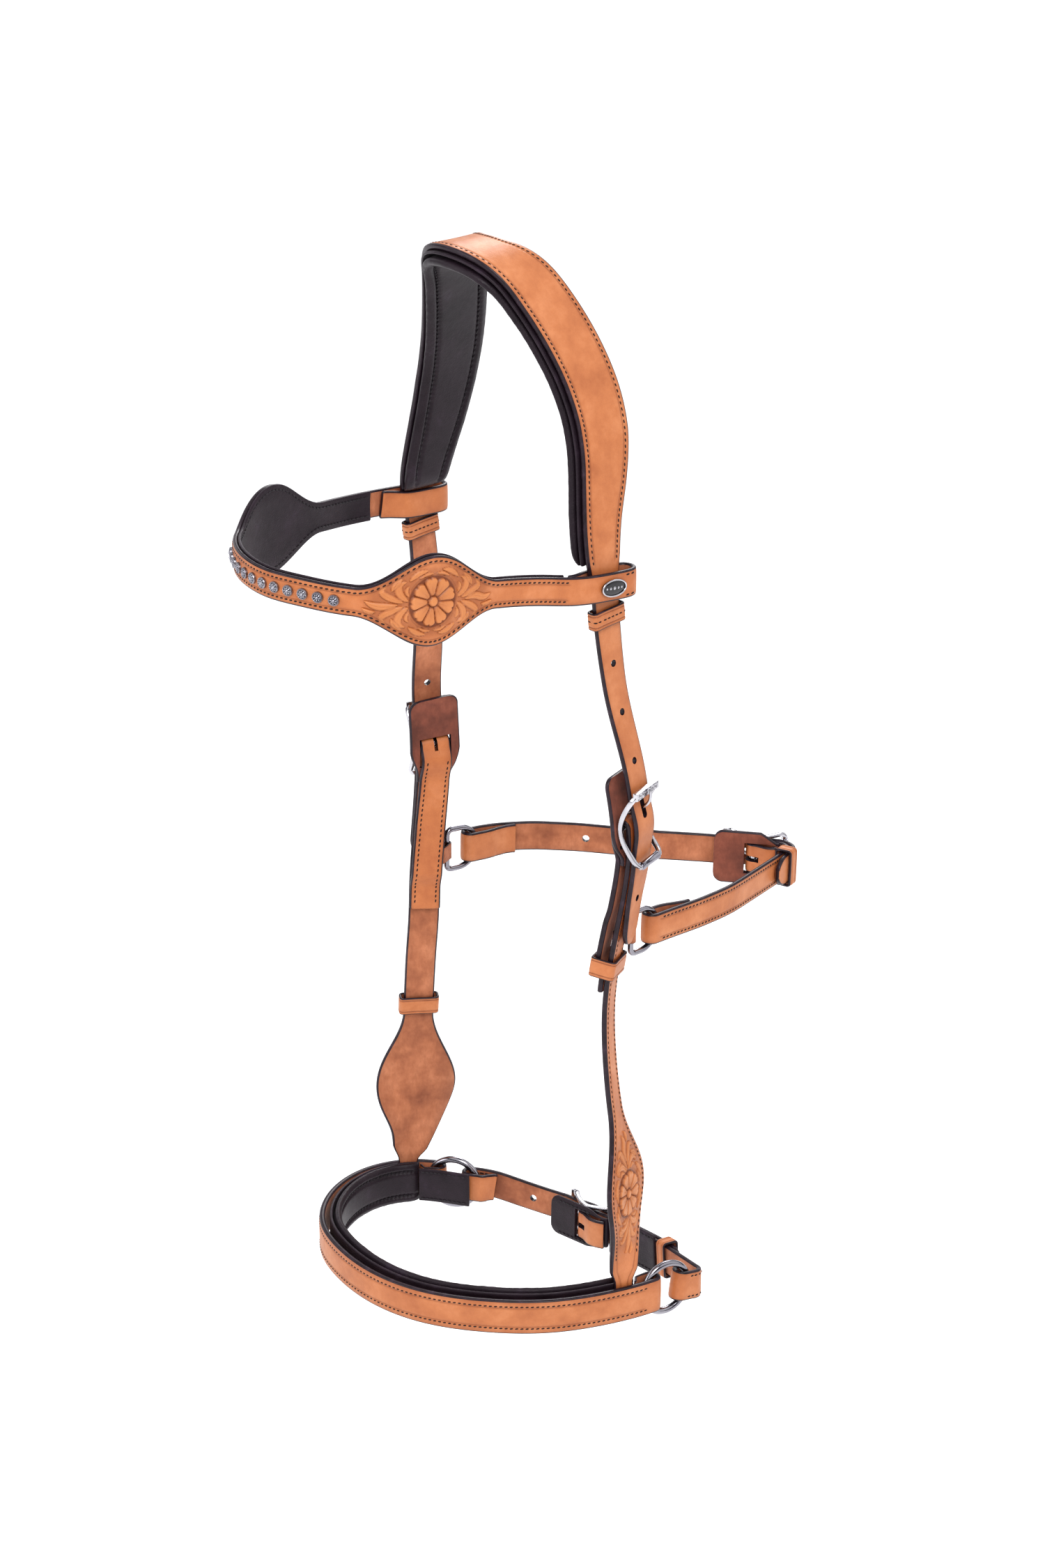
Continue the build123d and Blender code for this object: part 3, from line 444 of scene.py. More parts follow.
def ribbon(path, start, end, half, low, high, step=1.6, groove=0.0, inset=2.2, across=7,
           relief=None, crown=0.12, fine=(), cap=0.4, under=0.0, slot=None):
    """A leather strip with rounded edges: shape, material index, uv and edge nearness, which also
    darkens the stitch channel as painted shade.
    half, low, high and groove are numbers or functions of pos; groove in 0..1 sinks the
    stitch channel at inset from the edge. fine lists (start, end, step) of denser rows."""
    spots = stations(path, start, end, step)
    for first, last, gap in fine:
        spots = [x for x in spots if not first < x < last] + list(np.arange(first, last, gap))
    spots += [start + cap, end - cap]
    if slot:
        spots = [x for x in spots if min(abs(x - slot[0]), abs(x - slot[1])) > 0.3]
        spots += slot[:2]
    spots = tidy([x for x in spots if start <= x <= end])
    centre, _, normal, across_way = path.at(spots)
    half, low, high, groove = (np.array([fixed(value)(x) for x in spots], float)
                               for value in (half, low, high, groove))
    half[[0, -1]] -= cap
    low[[0, -1]] += cap * 0.8
    high[[0, -1]] -= cap * 0.8
    radius = np.minimum((high - low) * 0.42, 0.9)
    flat = half - radius

    # columns of (side, out, zone); zone 0 is the face, 1 the edge and 2 the back
    offsets = [0.0, inset - 1.25, inset - 0.6, inset, inset + 0.6, inset + 1.3]
    dips = [0.12, 0.0, 0.02, 0.3, 0.02, 0.0]
    shrink = np.minimum(1, flat / (offsets[-1] + 2.0))
    rim = [(flat - max(0.0, offset) * shrink, high - dip * (groove if k > 1 else 1.0))
           for k, (offset, dip) in enumerate(zip(offsets, dips))]
    face = [(-side, out) for side, out in rim]
    face += [(-rim[-1][0] * (1 - 2 * k / (across + 1)), high) for k in range(1, across + 1)]
    face += rim[::-1]
    columns = [(side, out + crown * (1 - (side / np.maximum(half, 0.1)) ** 2), 0)
               for side, out in face]
    edge = [(flat + radius * math.cos(turn),
             (high + low) / 2 + (high - low) / 2 * math.sin(turn) * 0.96, 1)
            for turn in np.linspace(math.pi / 2, -math.pi / 2, 7)[1:-1]]
    columns += edge
    columns += [(flat * part, low - under * (1 - part * part), 2)
                for part in np.linspace(1, -1, 6)]
    columns += [(-side, out, zone) for side, out, zone in edge[::-1]]
    side = np.stack([column[0] for column in columns], 1)
    out = np.stack([column[1] for column in columns], 1)
    zone = np.array([column[2] for column in columns])
    rows, around = side.shape

    holes = []
    if slot:
        # the columns nearest to the slot's two sides are moved on to them
        inside = (spots > slot[0] - 0.05) & (spots < slot[1] + 0.05)
        middle = side[rows // 2]
        for wanted, sign in ((0, -1), (2, 1)):
            here = np.flatnonzero(zone == wanted)
            first, last = sorted(min(here, key=lambda j: abs(middle[j] - goal))
                                 for goal in (-slot[2], slot[2]))
            moved = [(j, sign * slot[2] * (1 - 2 * (j - first) / (last - first)))
                     for j in range(first, last + 1)]
            for j, goal in moved:
                side[inside, j] = goal
            holes.append((first, last))
            middle = side[rows // 2]
    spread = np.repeat(spots[:, None], around, 1)
    if relief is not None:
        top = zone == 0
        out[:, top] += relief(spread[:, top], side[:, top],
                              np.repeat(half[:, None], top.sum(), 1))
    verts = (centre[:, None, :] + side[..., None] * across_way[:, None, :]
             + out[..., None] * normal[:, None, :]).reshape(-1, 3)
    faces = wall_faces(rows, around)
    index = np.r_[np.tile(face_zones(zone), rows - 1), 1, 1]
    if slot:
        grid = np.arange(rows * around).reshape(rows, around)
        faces, index = open_slot(faces, index, grid, spots, slot, holes)
    uv = np.stack([spread / 10, (side + 100.0 * (zone == 2)) / 10], -1).reshape(-1, 2)
    near = np.exp(-np.maximum(0, half[:, None] - np.abs(side)) / 1.1)
    channel = np.exp(-(((flat[:, None] - np.abs(side) - inset) / 0.45) ** 2))
    # painted shade: the stitch channel is darkened along with the edge
    near = np.maximum(near, 0.75 * groove[:, None] * (zone == 0) * channel)
    return (verts, faces), index, uv, near.reshape(-1)


def face_zones(zone):
    """The material of the faces between each column and the next."""
    return np.where(zone == np.roll(zone, -1), zone, 1)


def leather(name, node, mats, path, start, end, half, low, high, mirror=False, cuts=(), **style):
    (verts, faces), index, uv, near = ribbon(path, start, end, half, low, high, **style)
    shape = verts, outward(verts, faces)
    piece = mesh_object(name, shape, mats, index, uv, near, mirror)
    if cuts:
        cut(piece, cuts, mirror)
    stand_for(piece, node)
    return piece


def cut(piece, cuts, mirror):
    """Takes closed cutters out of the piece; the cut faces take its second material."""
    verts, faces = join(cuts)
    mesh = bpy.data.meshes.new("cutter")
    mesh.from_pydata(place(verts * MIRROR if mirror else verts).tolist(), [], faces)
    for mat in piece.data.materials:
        mesh.materials.append(mat)
    mesh.polygons.foreach_set("material_index", np.ones(len(mesh.polygons), np.int32))
    work = bmesh.new()
    work.from_mesh(mesh)
    bmesh.ops.recalc_face_normals(work, faces=work.faces)
    work.to_mesh(mesh)
    work.free()
    tool = add_object("cutter", mesh)
    modifier = piece.modifiers.new("cut", "BOOLEAN")
    modifier.operation, modifier.object, modifier.solver = "DIFFERENCE", tool, "EXACT"
    bpy.context.view_layer.update()
    graph = bpy.context.evaluated_depsgraph_get()
    result = bpy.data.meshes.new_from_object(piece.evaluated_get(graph),
                                             preserve_all_data_layers=True, depsgraph=graph)
    piece.modifiers.clear()
    old, piece.data = piece.data, result
    bpy.data.meshes.remove(old)
    bpy.data.objects.remove(tool)
    result.name = piece.name
    result.set_sharp_from_angle(angle=math.radians(52))


def punch(path, pos, radius=HOLE_RADIUS, out=0.0, slot=0.0):
    """A cutter through a strap, round or slot mm long."""
    centre, along, normal, across = path.at(pos)
    stretch = max(0.0, slot / 2 - radius)
    count = 20
    ring = []
    for k in range(count):
        turn = 2 * math.pi * (k + 0.5) / count
        ring.append((stretch * np.sign(math.cos(turn)) + radius * math.cos(turn),
                     radius * math.sin(turn)))
    verts = np.array([centre + x * along + y * across + (out + z) * normal
                      for z in (-4.0, 4.0) for x, y in ring])
    faces = [tuple(range(count)), tuple(range(2 * count - 1, count - 1, -1))]
    for k in range(count):
        k2 = (k + 1) % count
        faces.append((k, k2, count + k2, count + k))
    return verts, faces


def tube(points, tall, wide=None, normal=None, closed=False, sides=16, square=1.0):
    """A wire along points; tall is its half height along normal and wide its half width."""
    points = np.asarray(points, float)
    count = len(points)
    tall = np.broadcast_to(np.asarray(tall, float), (count,))
    wide = tall if wide is None else np.broadcast_to(np.asarray(wide, float), (count,))
    if closed:
        along = unit(np.roll(points, -1, 0) - np.roll(points, 1, 0))
    else:
        along = unit(np.gradient(points, axis=0))
    if normal is None:
        normals = np.zeros_like(points)
        carried = np.cross(along[0], [0.3, 0.5, 0.81])
        for k in range(count):
            carried = unit(carried - (carried @ along[k]) * along[k])
            normals[k] = carried
    else:
        spread = np.broadcast_to(np.asarray(normal, float), points.shape)
        normals = square_to(spread, along)
    across = np.cross(along, normals)
    turns = 2 * math.pi * (np.arange(sides) + 0.5) / sides
    x, y = (np.sign(v) * np.abs(v) ** square for v in (np.cos(turns), np.sin(turns)))
    verts = (points[:, None] + (tall[:, None] * x)[..., None] * normals[:, None]
             + (wide[:, None] * y)[..., None] * across[:, None]).reshape(-1, 3)
    return verts, outward(verts, wall_faces(count, sides, closed))


# ------------------------------------------------------------------ stitches
def bead(length, radius, rings=5, sides=8):
    """One stitch: a short plump thread lying along x, height along z."""
    verts, faces = [], []
    for part in np.linspace(-1, 1, rings):
        here = radius * max(0.28, (1 - abs(part) ** 2.6)) ** 0.5
        for j in range(sides):
            turn = 2 * math.pi * j / sides
            verts.append((part * length / 2, here * math.cos(turn),
                          here * math.sin(turn) - 0.42 * radius * part**2))
    for i in range(rings - 1):
        this, after = i * sides, (i + 1) * sides
        for j in range(sides):
            j2 = (j + 1) % sides
            faces.append((this + j, after + j, after + j2, this + j2))
    faces.append(tuple(range(sides)))
    faces.append(tuple((rings - 1) * sides + j for j in range(sides))[::-1])
    verts = np.array(verts)
    return verts, outward(verts, faces)


STITCH_VERTS, STITCH_FACES = bead(length=2.15, radius=0.44)


def stitch(spot, along, normal, scale):
    turned = STITCH_VERTS @ np.array([along, np.cross(normal, along), normal])
    return spot + scale * turned, STITCH_FACES


def stitching(name, node, mat, rows, pitch=2.6, mirror=False, scale=1.0):
    """Pairs of stitch rows, each pair (path, start, end, side, out) on both sides of the path."""
    parts = []
    for path, start, end, side, out in rows:
        start, end = sorted((start, end))
        spots = np.arange(start + pitch / 2, end, pitch)
        centre, along, normal, across = path.at(spots)
        outs = np.array([fixed(out)(x) for x in spots])[:, None] * normal
        sides = np.array([fixed(side)(x) for x in spots])[:, None] * across
        for sign in (-1, 1):
            places = centre + sign * sides + outs
            run_way = unit(np.gradient(places, axis=0)) if len(spots) > 1 else along
            lean = unit(run_way + 0.13 * np.cross(normal, run_way))
            parts += [stitch(*each, scale) for each in zip(places, lean, normal)]
    piece = mesh_object(name, join(parts), [mat], mirror=mirror, smooth=80)
    ride_with(piece, node)


# ------------------------------------------------------------------ materials
def srgb(*levels):
    """A linear colour from 0..255 levels."""
    parts = [level / 255 for level in levels]
    return tuple(c / 12.92 if c <= 0.04045 else ((c + 0.055) / 1.055) ** 2.4
                 for c in parts) + (1.0,)


BLACK_COLOUR, WHITE_COLOUR = (0, 0, 0, 1), (1, 1, 1, 1)


class Nodes:
    """Adds shader nodes to a tree. Values are numbers, colours or the outputs of other nodes."""

    def __init__(self, tree):
        self.tree = tree

    def feed(self, socket, value):
        if isinstance(value, bpy.types.NodeSocket):
            self.tree.links.new(value, socket)
        else:
            socket.default_value = value

    def add(self, kind, inputs=None, **settings):
        node = self.tree.nodes.new(kind)
        for name, value in settings.items():
            setattr(node, name, value)
        for name, value in (inputs or {}).items():
            self.feed(node.inputs[name], value)
        return node

    def ramp(self, factor, stops):
        """stops are (position, colour)."""
        node = self.add("ShaderNodeValToRGB", {"Fac": factor})
        elements = node.color_ramp.elements
        while len(elements) < len(stops):
            elements.new(0.5)
        for k, (position, colour) in enumerate(stops):
            elements[k].position, elements[k].color = position, colour
        return node.outputs["Color"]

    def mix(self, factor, first, second, blend="MIX"):
        node = self.add("ShaderNodeMix", data_type="RGBA", blend_type=blend)
        sockets = [socket for socket in node.inputs if socket.enabled]
        for socket, value in zip(sockets, (factor, first, second)):
            self.feed(socket, value)
        return [socket for socket in node.outputs if socket.enabled][0]

    def math(self, operation, first, second=0.0, third=0.0):
        values = dict(enumerate((first, second, third)))
        return self.add("ShaderNodeMath", values, operation=operation).outputs[0]

    def times(self, first, second):
        return self.math("MULTIPLY", first, second)

    def scaled(self, value, by, plus):
        return self.math("MULTIPLY_ADD", value, by, plus)


class Material(Nodes):
    """A principled material on object coordinates."""

    def __init__(self, name):
        self.data = bpy.data.materials.new(name)
        self.data.use_nodes = True
        super().__init__(self.data.node_tree)
        self.shader = self.tree.nodes["Principled BSDF"]
        self.where = self.add("ShaderNodeTexCoord").outputs["Object"]

    def noise(self, scale, detail=4.0, rough=0.55, stretch=None):
        where = self.where
        if stretch:
            mapping = self.add("ShaderNodeMapping", {"Vector": where, "Scale": stretch})
            where = mapping.outputs["Vector"]
        inputs = {"Scale": scale, "Detail": detail, "Roughness": rough, "Vector": where}
        return self.add("ShaderNodeTexNoise", inputs).outputs["Fac"]

    def voronoi(self, scale, feature="F1"):
        inputs = {"Scale": scale, "Vector": self.where}
        return self.add("ShaderNodeTexVoronoi", inputs, feature=feature).outputs["Distance"]

    def mask(self, factor, low, high):
        return self.ramp(factor, [(low, BLACK_COLOUR), (high, WHITE_COLOUR)])

    def attribute(self, name):
        return self.add("ShaderNodeAttribute", attribute_name=name).outputs["Fac"]

    def bump(self, *layers):
        """layers are (height, strength, distance in metres)."""
        normal = None
        for height, strength, distance in layers:
            inputs = {"Strength": strength, "Distance": distance, "Height": height}
            if normal is not None:
                inputs["Normal"] = normal
            normal = self.add("ShaderNodeBump", inputs).outputs["Normal"]
        self.feed(self.shader.inputs["Normal"], normal)

    def finish(self, **inputs):
        for name, value in inputs.items():
            self.feed(self.shader.inputs[name.replace("_", " ")], value)
        return self.data


def tan_leather(name, base, dark, light, carved=False):
    mat = Material(name)
    clouds = mat.noise(scale=55, detail=5, rough=0.62)
    mottle = mat.noise(scale=260, detail=5, rough=0.66)
    colour = mat.ramp(clouds, [(0.22, dark), (0.5, base), (0.78, light)])
    colour = mat.mix(mat.times(mat.mask(mottle, low=0.35, high=0.7), 0.22), colour, dark)
    pores = mat.math("LESS_THAN", mat.voronoi(scale=2600), 0.16)
    colour = mat.mix(mat.times(pores, 0.18), colour, srgb(120, 62, 30))
    # darker towards the painted edge, with painted shade in the stitch channel and the keeper creases
    wobble = mat.scaled(mat.noise(scale=160, detail=3), by=0.9, plus=0.55)
    edge_dark_groove_shade_mask = mat.math("MINIMUM", mat.times(mat.attribute("edge_dark_groove_shade"), wobble), 1.0)
    colour = mat.mix(mat.times(edge_dark_groove_shade_mask, 0.62), colour, srgb(104, 48, 22))
    if carved:
        # the cuts darker, as antique stain and painted shade
        colour = mat.mix(mat.times(mat.attribute("deep"), 0.86), colour, srgb(96, 42, 16))
        # painted highlight: the raised parts of the carving lighter
        colour = mat.mix(mat.times(mat.attribute("high"), 0.30), colour, srgb(244, 166, 98))
    mat.bump((mat.noise(scale=90, detail=2), 0.18, 0.0012),
             (mat.voronoi(scale=1500, feature="SMOOTH_F1"), 0.16, 0.00035),
             (mat.noise(scale=1400, detail=4, rough=0.6), 0.10, 0.0003))
    return mat.finish(Base_Color=colour, Roughness=mat.scaled(mottle, by=0.22, plus=0.36),
                      Specular_IOR_Level=0.38, Coat_Weight=0.12, Coat_Roughness=0.3)


def flesh_leather(name, base, dark, light):
    mat = Material(name)
    fibre = mat.noise(scale=420, detail=6, rough=0.7, stretch=(1.0, 1.0, 0.45))
    clouds = mat.noise(scale=60, detail=4, rough=0.6)
    colour = mat.ramp(clouds, [(0.3, dark), (0.5, base), (0.72, light)])
    colour = mat.mix(mat.times(mat.mask(fibre, low=0.42, high=0.66), 0.35), colour, dark)
    colour = mat.mix(mat.times(mat.attribute("edge_dark_groove_shade"), 0.45), colour, srgb(92, 52, 40))
    mat.bump((fibre, 0.32, 0.0005),
             (mat.noise(scale=1900, detail=4, rough=0.7), 0.28, 0.0003))
    return mat.finish(Base_Color=colour, Roughness=mat.scaled(fibre, by=0.15, plus=0.66),
                      Specular_IOR_Level=0.3, Sheen_Weight=0.12)


def edge_paint(name):
    mat = Material(name)
    clouds = mat.noise(scale=240, detail=4, rough=0.6)
    colour = mat.ramp(clouds, [(0.3, srgb(24, 14, 20)), (0.6, srgb(42, 28, 38)),
                               (0.85, srgb(74, 56, 70))])
    mat.bump((mat.noise(scale=700, detail=3), 0.14, 0.0004), (clouds, 0.10, 0.0005))
    return mat.finish(Base_Color=colour, Roughness=mat.scaled(clouds, by=0.2, plus=0.28),
                      Specular_IOR_Level=0.35, Coat_Weight=0.12, Coat_Roughness=0.2)


def black_leather(name, red, green, blue):
    mat = Material(name)
    clouds = mat.noise(scale=70, detail=4, rough=0.6)
    colour = mat.ramp(clouds, [(0.3, srgb(red - 12, green - 12, blue - 12)),
                               (0.6, srgb(red, green, blue)),
                               (0.85, srgb(red + 22, green + 20, blue + 26))])
    wrinkles = mat.noise(scale=300, detail=5, rough=0.65)
    mat.bump((mat.voronoi(scale=900, feature="DISTANCE_TO_EDGE"), 0.30, 0.0005),
             (wrinkles, 0.25, 0.0006))
    return mat.finish(Base_Color=colour, Roughness=mat.scaled(wrinkles, by=0.22, plus=0.36),
                      Specular_IOR_Level=0.30, Sheen_Weight=0.03, Coat_Weight=0.05,
                      Coat_Roughness=0.3)


def thread(name, dark, light):
    mat = Material(name)
    twist = mat.add("ShaderNodeTexWave", {"Scale": 900, "Distortion": 1.5, "Vector": mat.where})
    mat.bump((twist.outputs["Fac"], 0.3, 0.0002))
    colour = mat.ramp(mat.noise(scale=900, detail=2), [(0.35, dark), (0.7, light)])
    return mat.finish(Base_Color=colour, Roughness=0.62, Specular_IOR_Level=0.3,
                      Sheen_Weight=0.1)


def metal(name, first, second, rough, patina_and_shade=0.0):
    """The last argument darkens what the deep attribute marks: patina in the buckle engraving,
    painted shade in the stud recesses and under the buckle plate and the studs.
    """
    mat = Material(name)
    clouds = mat.noise(scale=55, detail=4, rough=0.6)
    scuffs = mat.noise(scale=900, detail=5, rough=0.7)
    colour = mat.ramp(clouds, [(0.3, first), (0.7, second)])
    mat.bump((clouds, 0.10, 0.0006), (scuffs, 0.05, 0.0002))
    roughness = mat.scaled(scuffs, by=0.14, plus=rough)
    if patina_and_shade:
        colour = mat.mix(mat.times(mat.attribute("deep"), patina_and_shade), colour, srgb(28, 24, 30))
        roughness = mat.scaled(mat.attribute("deep"), by=0.35, plus=roughness)
    return mat.finish(Base_Color=colour, Metallic=1.0, Roughness=roughness)


def enamel(name):
    mat = Material(name)
    clouds = mat.noise(scale=120)
    mat.bump((clouds, 0.08, 0.0005))
    colour = mat.ramp(clouds, [(0.3, srgb(12, 11, 14)), (0.8, srgb(30, 28, 34))])
    return mat.finish(Base_Color=colour, Roughness=0.12, Coat_Weight=0.6)


TAN = tan_leather("tan_leather",
                  base=srgb(181, 113, 70), dark=srgb(158, 92, 54), light=srgb(200, 134, 92))
CARVED = tan_leather("carved_leather", base=srgb(183, 113, 68), dark=srgb(160, 92, 54),
                     light=srgb(202, 134, 92), carved=True)
FLESH = flesh_leather("flesh_side",
                      base=srgb(170, 108, 76), dark=srgb(134, 80, 56), light=srgb(194, 130, 96))
GUARD = flesh_leather("guard_leather",
                      base=srgb(126, 72, 56), dark=srgb(92, 52, 42), light=srgb(152, 92, 72))
EDGE = edge_paint("painted_edge")
BLACK = black_leather("black_leather", red=36, green=24, blue=33)
BLACK_EDGE = black_leather("black_leather_edge", red=40, green=27, blue=37)
THREAD = thread("brown_thread", dark=srgb(30, 14, 12), light=srgb(54, 27, 20))
BLACK_THREAD = thread("black_thread", dark=srgb(24, 20, 24), light=srgb(50, 44, 50))
NICKEL = metal("nickel", (0.62, 0.61, 0.64, 1), (0.42, 0.41, 0.44, 1), rough=0.11, patina_and_shade=0.85)
DARK_NICKEL = metal("dark_nickel", (0.46, 0.45, 0.49, 1), (0.26, 0.25, 0.29, 1),
                    rough=0.14, patina_and_shade=0.95)
RING_METAL = metal("ring_metal", (0.36, 0.35, 0.38, 1), (0.22, 0.21, 0.24, 1), rough=0.10)
ENAMEL = enamel("black_enamel")

# materials of the face, the edge and the back
TAN_SET = [TAN, EDGE, FLESH]
CARVED_SET = [CARVED, EDGE, FLESH]
BLACK_SET = [BLACK, BLACK_EDGE, BLACK]
GUARD_SET = [GUARD, EDGE, GUARD]


# ------------------------------------------------------------------ carved relief
FLOWER_RADIUS, PETALS = 11.8, 9

# one quarter of the leaves round the flower: points (x along the strap, y), half width
QUARTER_LEAVES = [
    ([(13.2, 1.8), (16.5, 5.0), (17.0, 8.8), (13.6, 10.8)], 1.9),
    ([(15.5, 1.2), (20.5, 3.2), (24.5, 6.6), (22.4, 8.8)], 1.7),
    ([(12.0, 11.2), (8.2, 13.9), (3.4, 15.1)], 1.35),
    ([(1.0, 13.4), (4.6, 13.0), (7.8, 11.4)], 0.9),
    ([(12.6, 3.8), (13.6, 6.4), (12.4, 8.6)], 1.0),
    ([(20.0, 6.8), (18.6, 9.6), (15.2, 12.2)], 1.3)]
LEAVES = []
for sx in (-1, 1):
    for sy in (-1, 1):
        LEAVES += [([(x * sx, y * sy) for x, y in points], wide)
                   for points, wide in QUARTER_LEAVES]
    LEAVES.append(([(18.0 * sx, 0.0), (23.5 * sx, 0.9 * sx), (28.8 * sx, 0.2),
                    (32.2 * sx, -1.6)], 1.9))
    LEAVES.append(([(27.5 * sx, 3.4), (30.5 * sx, 3.6), (33.0 * sx, 1.9)], 1.2))


def carved_leaf(x, y, points, wide):
    """Height of a leaf along the points, widest at its middle, and nearness to it."""
    line = curve(points, 0.25)
    part = np.linspace(0, 1, len(line))
    swell = np.maximum(np.sin(math.pi * np.clip(part * 0.92 + 0.08, 0, 1)), 0.02)
    gap = np.sqrt((x[..., None] - line[:, 0]) ** 2 + (y[..., None] - line[:, 1]) ** 2)
    reach = (gap / (wide * swell**0.8)).min(-1)
    body = np.clip(1 - reach**2.2, 0, 1) ** 0.7 * 0.5
    vein = 0.16 * np.exp(-((reach / 0.16) ** 2)) * (body > 0)
    return body - vein, np.clip(1.5 - reach, 0, 1)


def rosette(x, y):
    """Height in mm and hollow (0..1) of a carved flower and its leaves; x runs along the strap."""
    radius = np.hypot(x, y)
    half_petal = math.pi / PETALS
    # 0 on a petal's middle line, 1 between two petals
    off = np.abs((np.arctan2(y, x) + half_petal) % (2 * half_petal) - half_petal) / half_petal
    rim = FLOWER_RADIUS * (1 - 0.17 * off**3.2 - 0.055 * np.exp(-((off / 0.13) ** 2)))
    petal = (np.clip((rim - radius) / 0.9, 0, 1)
             * np.clip((1 - off) * radius * half_petal / 0.75, 0, 1)
             * np.clip((radius - 2.6) / 1.4, 0, 1))
    height = petal * (0.30 + 0.26 * np.clip(radius / FLOWER_RADIUS, 0, 1) ** 2)
    height -= (0.17 * np.exp(-((off / 0.11) ** 2)) * petal
               * np.clip((9.0 - radius) / 3.0, 0, 1))
    height -= (0.10 * petal * np.exp(-(((off - 0.42) / 0.09) ** 2))
               * np.clip((8.0 - radius) / 3.0, 0, 1))
    hub = (np.clip(1 - (radius / 2.3) ** 2, 0, 1) ** 0.5 * 0.62
           - 0.12 * np.exp(-((radius / 0.6) ** 2)))
    height = np.maximum(height, hub)
    hollow = (np.clip(1.0 - petal * 1.4 - (hub > 0.02), 0, 1)
              * np.clip((FLOWER_RADIUS + 1.1 - radius) / 0.9, 0, 1))
    outside = radius > FLOWER_RADIUS + 0.2
    for points, wide in LEAVES:
        leaf, near = carved_leaf(x, y, points, wide)
        height = np.where(outside, np.maximum(height, leaf), height)
        hollow = np.maximum(hollow, near * outside * (leaf <= 0.02))
    hollow = hollow * np.clip((34.5 - np.abs(x)) / 2.5, 0, 1)
    ring = (np.exp(-(((radius - (FLOWER_RADIUS + 1.35)) / 0.45) ** 2))
            * (np.abs(x) < 11.5))
    return height - 0.34 * hollow - 0.20 * ring, np.clip(hollow + 0.6 * ring, 0, 1)


def lobe_relief(centres):
    """The relief function of a ribbon with a rosette at each of the centres."""

    def relief(spots, side, half):
        out = np.zeros_like(spots)
        for centre in centres:
            x = spots - centre
            near = np.abs(x) < 36
            height, _ = rosette(x[near], side[near])
            room = np.clip((half[near] - 4.2 - np.abs(side[near])) / 0.8, 0, 1)
            out[near] += 1.55 * height * room
        return out

    return relief


def mark_carving(mesh, centres):
    """Stores how deep and how high the carving is, from the strap coordinates in the UV map; the
    material turns the depth into antique stain with painted shade and the height into a painted
    highlight.
    """
    count = len(mesh.vertices)
    uv = np.zeros(len(mesh.loops) * 2, np.float32)
    mesh.uv_layers[0].data.foreach_get("uv", uv)
    uv = uv.reshape(-1, 2)
    corners = loop_vertices(mesh)
    pos, side = np.zeros(count), np.full(count, 999.0)
    pos[corners], side[corners] = uv[:, 0] * 10, uv[:, 1] * 10
    deep, high = np.zeros(count), np.zeros(count)
    for centre in centres:
        near = (np.abs(pos - centre) < 36) & (np.abs(side) < 17.5)
        x, y = pos[near] - centre, side[near]
        height, hollow = rosette(x, y)
        stain = (0.34 * np.clip((33 - np.abs(x)) / 5, 0, 1)
                 * np.clip((17.4 - np.hypot(x * 0.42, y)) / 2.5, 0, 1))
        deep[near] = np.maximum(deep[near], np.maximum(hollow, stain))
        # painted highlight: the raised parts are marked for lightening
        high[near] = np.maximum(high[near], np.clip(height / 0.55, 0, 1))
    vertex_value(mesh, "deep", deep)
    vertex_value(mesh, "high", high)


def carved_strap(name, node, path, start, end, half, low, high, lobes, **style):
    """A strap with a carved rosette on each of its lobes."""
    piece = leather(name, node, CARVED_SET, path, start, end, half, low, high, step=1.6,
                    across=74, relief=lobe_relief(lobes), crown=0.1,
                    fine=[(lobe - 37, lobe + 37, 0.45) for lobe in lobes], **style)
    mark_carving(piece.data, lobes)


# ------------------------------------------------------------------ rolled padding
def padded_roll(name, path, start, end, half, top, thick, over, channel):
    """The lining rolled round its foam: plump at both edges, drawn in at the sewn channel."""
    spots = tidy(np.r_[np.arange(start, end, 0.9), end])
    turns = np.r_[np.linspace(0.03, math.pi - 0.03, 17),
                  np.linspace(math.pi + 0.03, 2 * math.pi - 0.03, 61)]
    x = np.copysign(np.abs(np.cos(turns)) ** 0.62, np.cos(turns))
    y = np.copysign(np.abs(np.sin(turns)) ** 0.80, np.sin(turns))
    rng = np.random.default_rng(11)
    # frequency, phase and size of the slow waves in the surface
    waves = [(rng.uniform(0.05, 0.35), rng.uniform(0, 6.28), rng.uniform(0.3, 1.0))
             for _ in range(9)]
    verts = []
    for pos, centre, _, normal, across in zip(spots, *path.at(spots)):
        from_end = min(1, (pos - start) / 9, (end - pos) / 9)
        fill = max(0.12, math.sqrt(max(0.0, 1 - (1 - from_end) ** 2)))
        wide = (fixed(half)(pos) + over) * (0.90 + 0.10 * fill)
        deep = thick * (0.30 + 0.70 * fill)
        pucker = (0.10 * math.sin(2 * math.pi * pos / 5.9) * np.abs(x) ** 6
                  * (1 - np.abs(y)))
        slow = 0.035 * sum(size * np.sin(rate * pos + phase + 1.7 * turns)
                           for rate, phase, size in waves)
        out = top - deep / 2 + y * deep / 2 - np.where(y > 0.55, 0.55 * x**4, 0.0)
        gap = (wide - np.abs(x) * wide - channel) / 1.15
        dimple = 1 + 0.22 * math.cos(2 * math.pi * pos / 2.9)
        sewn = (1.5 * fill * np.exp(-gap * gap) * dimple
                + 0.75 * fill / (1 + np.exp(-(gap - 0.6) * 2.0)))
        out += np.where(y < 0, sewn + slow, 0.0)
        side = (x * (wide - (1.4 * np.maximum(0.0, y) ** 2))
                + np.copysign(pucker + slow, x))
        verts.append(centre + side[:, None] * across + out[:, None] * normal)
    verts = np.vstack(verts)
    faces = outward(verts, wall_faces(len(spots), len(turns)))
    piece = mesh_object(name + "_roll", (verts, faces), [BLACK], smooth=70)
    stand_for(piece, name + "_lining", name + "_foam")


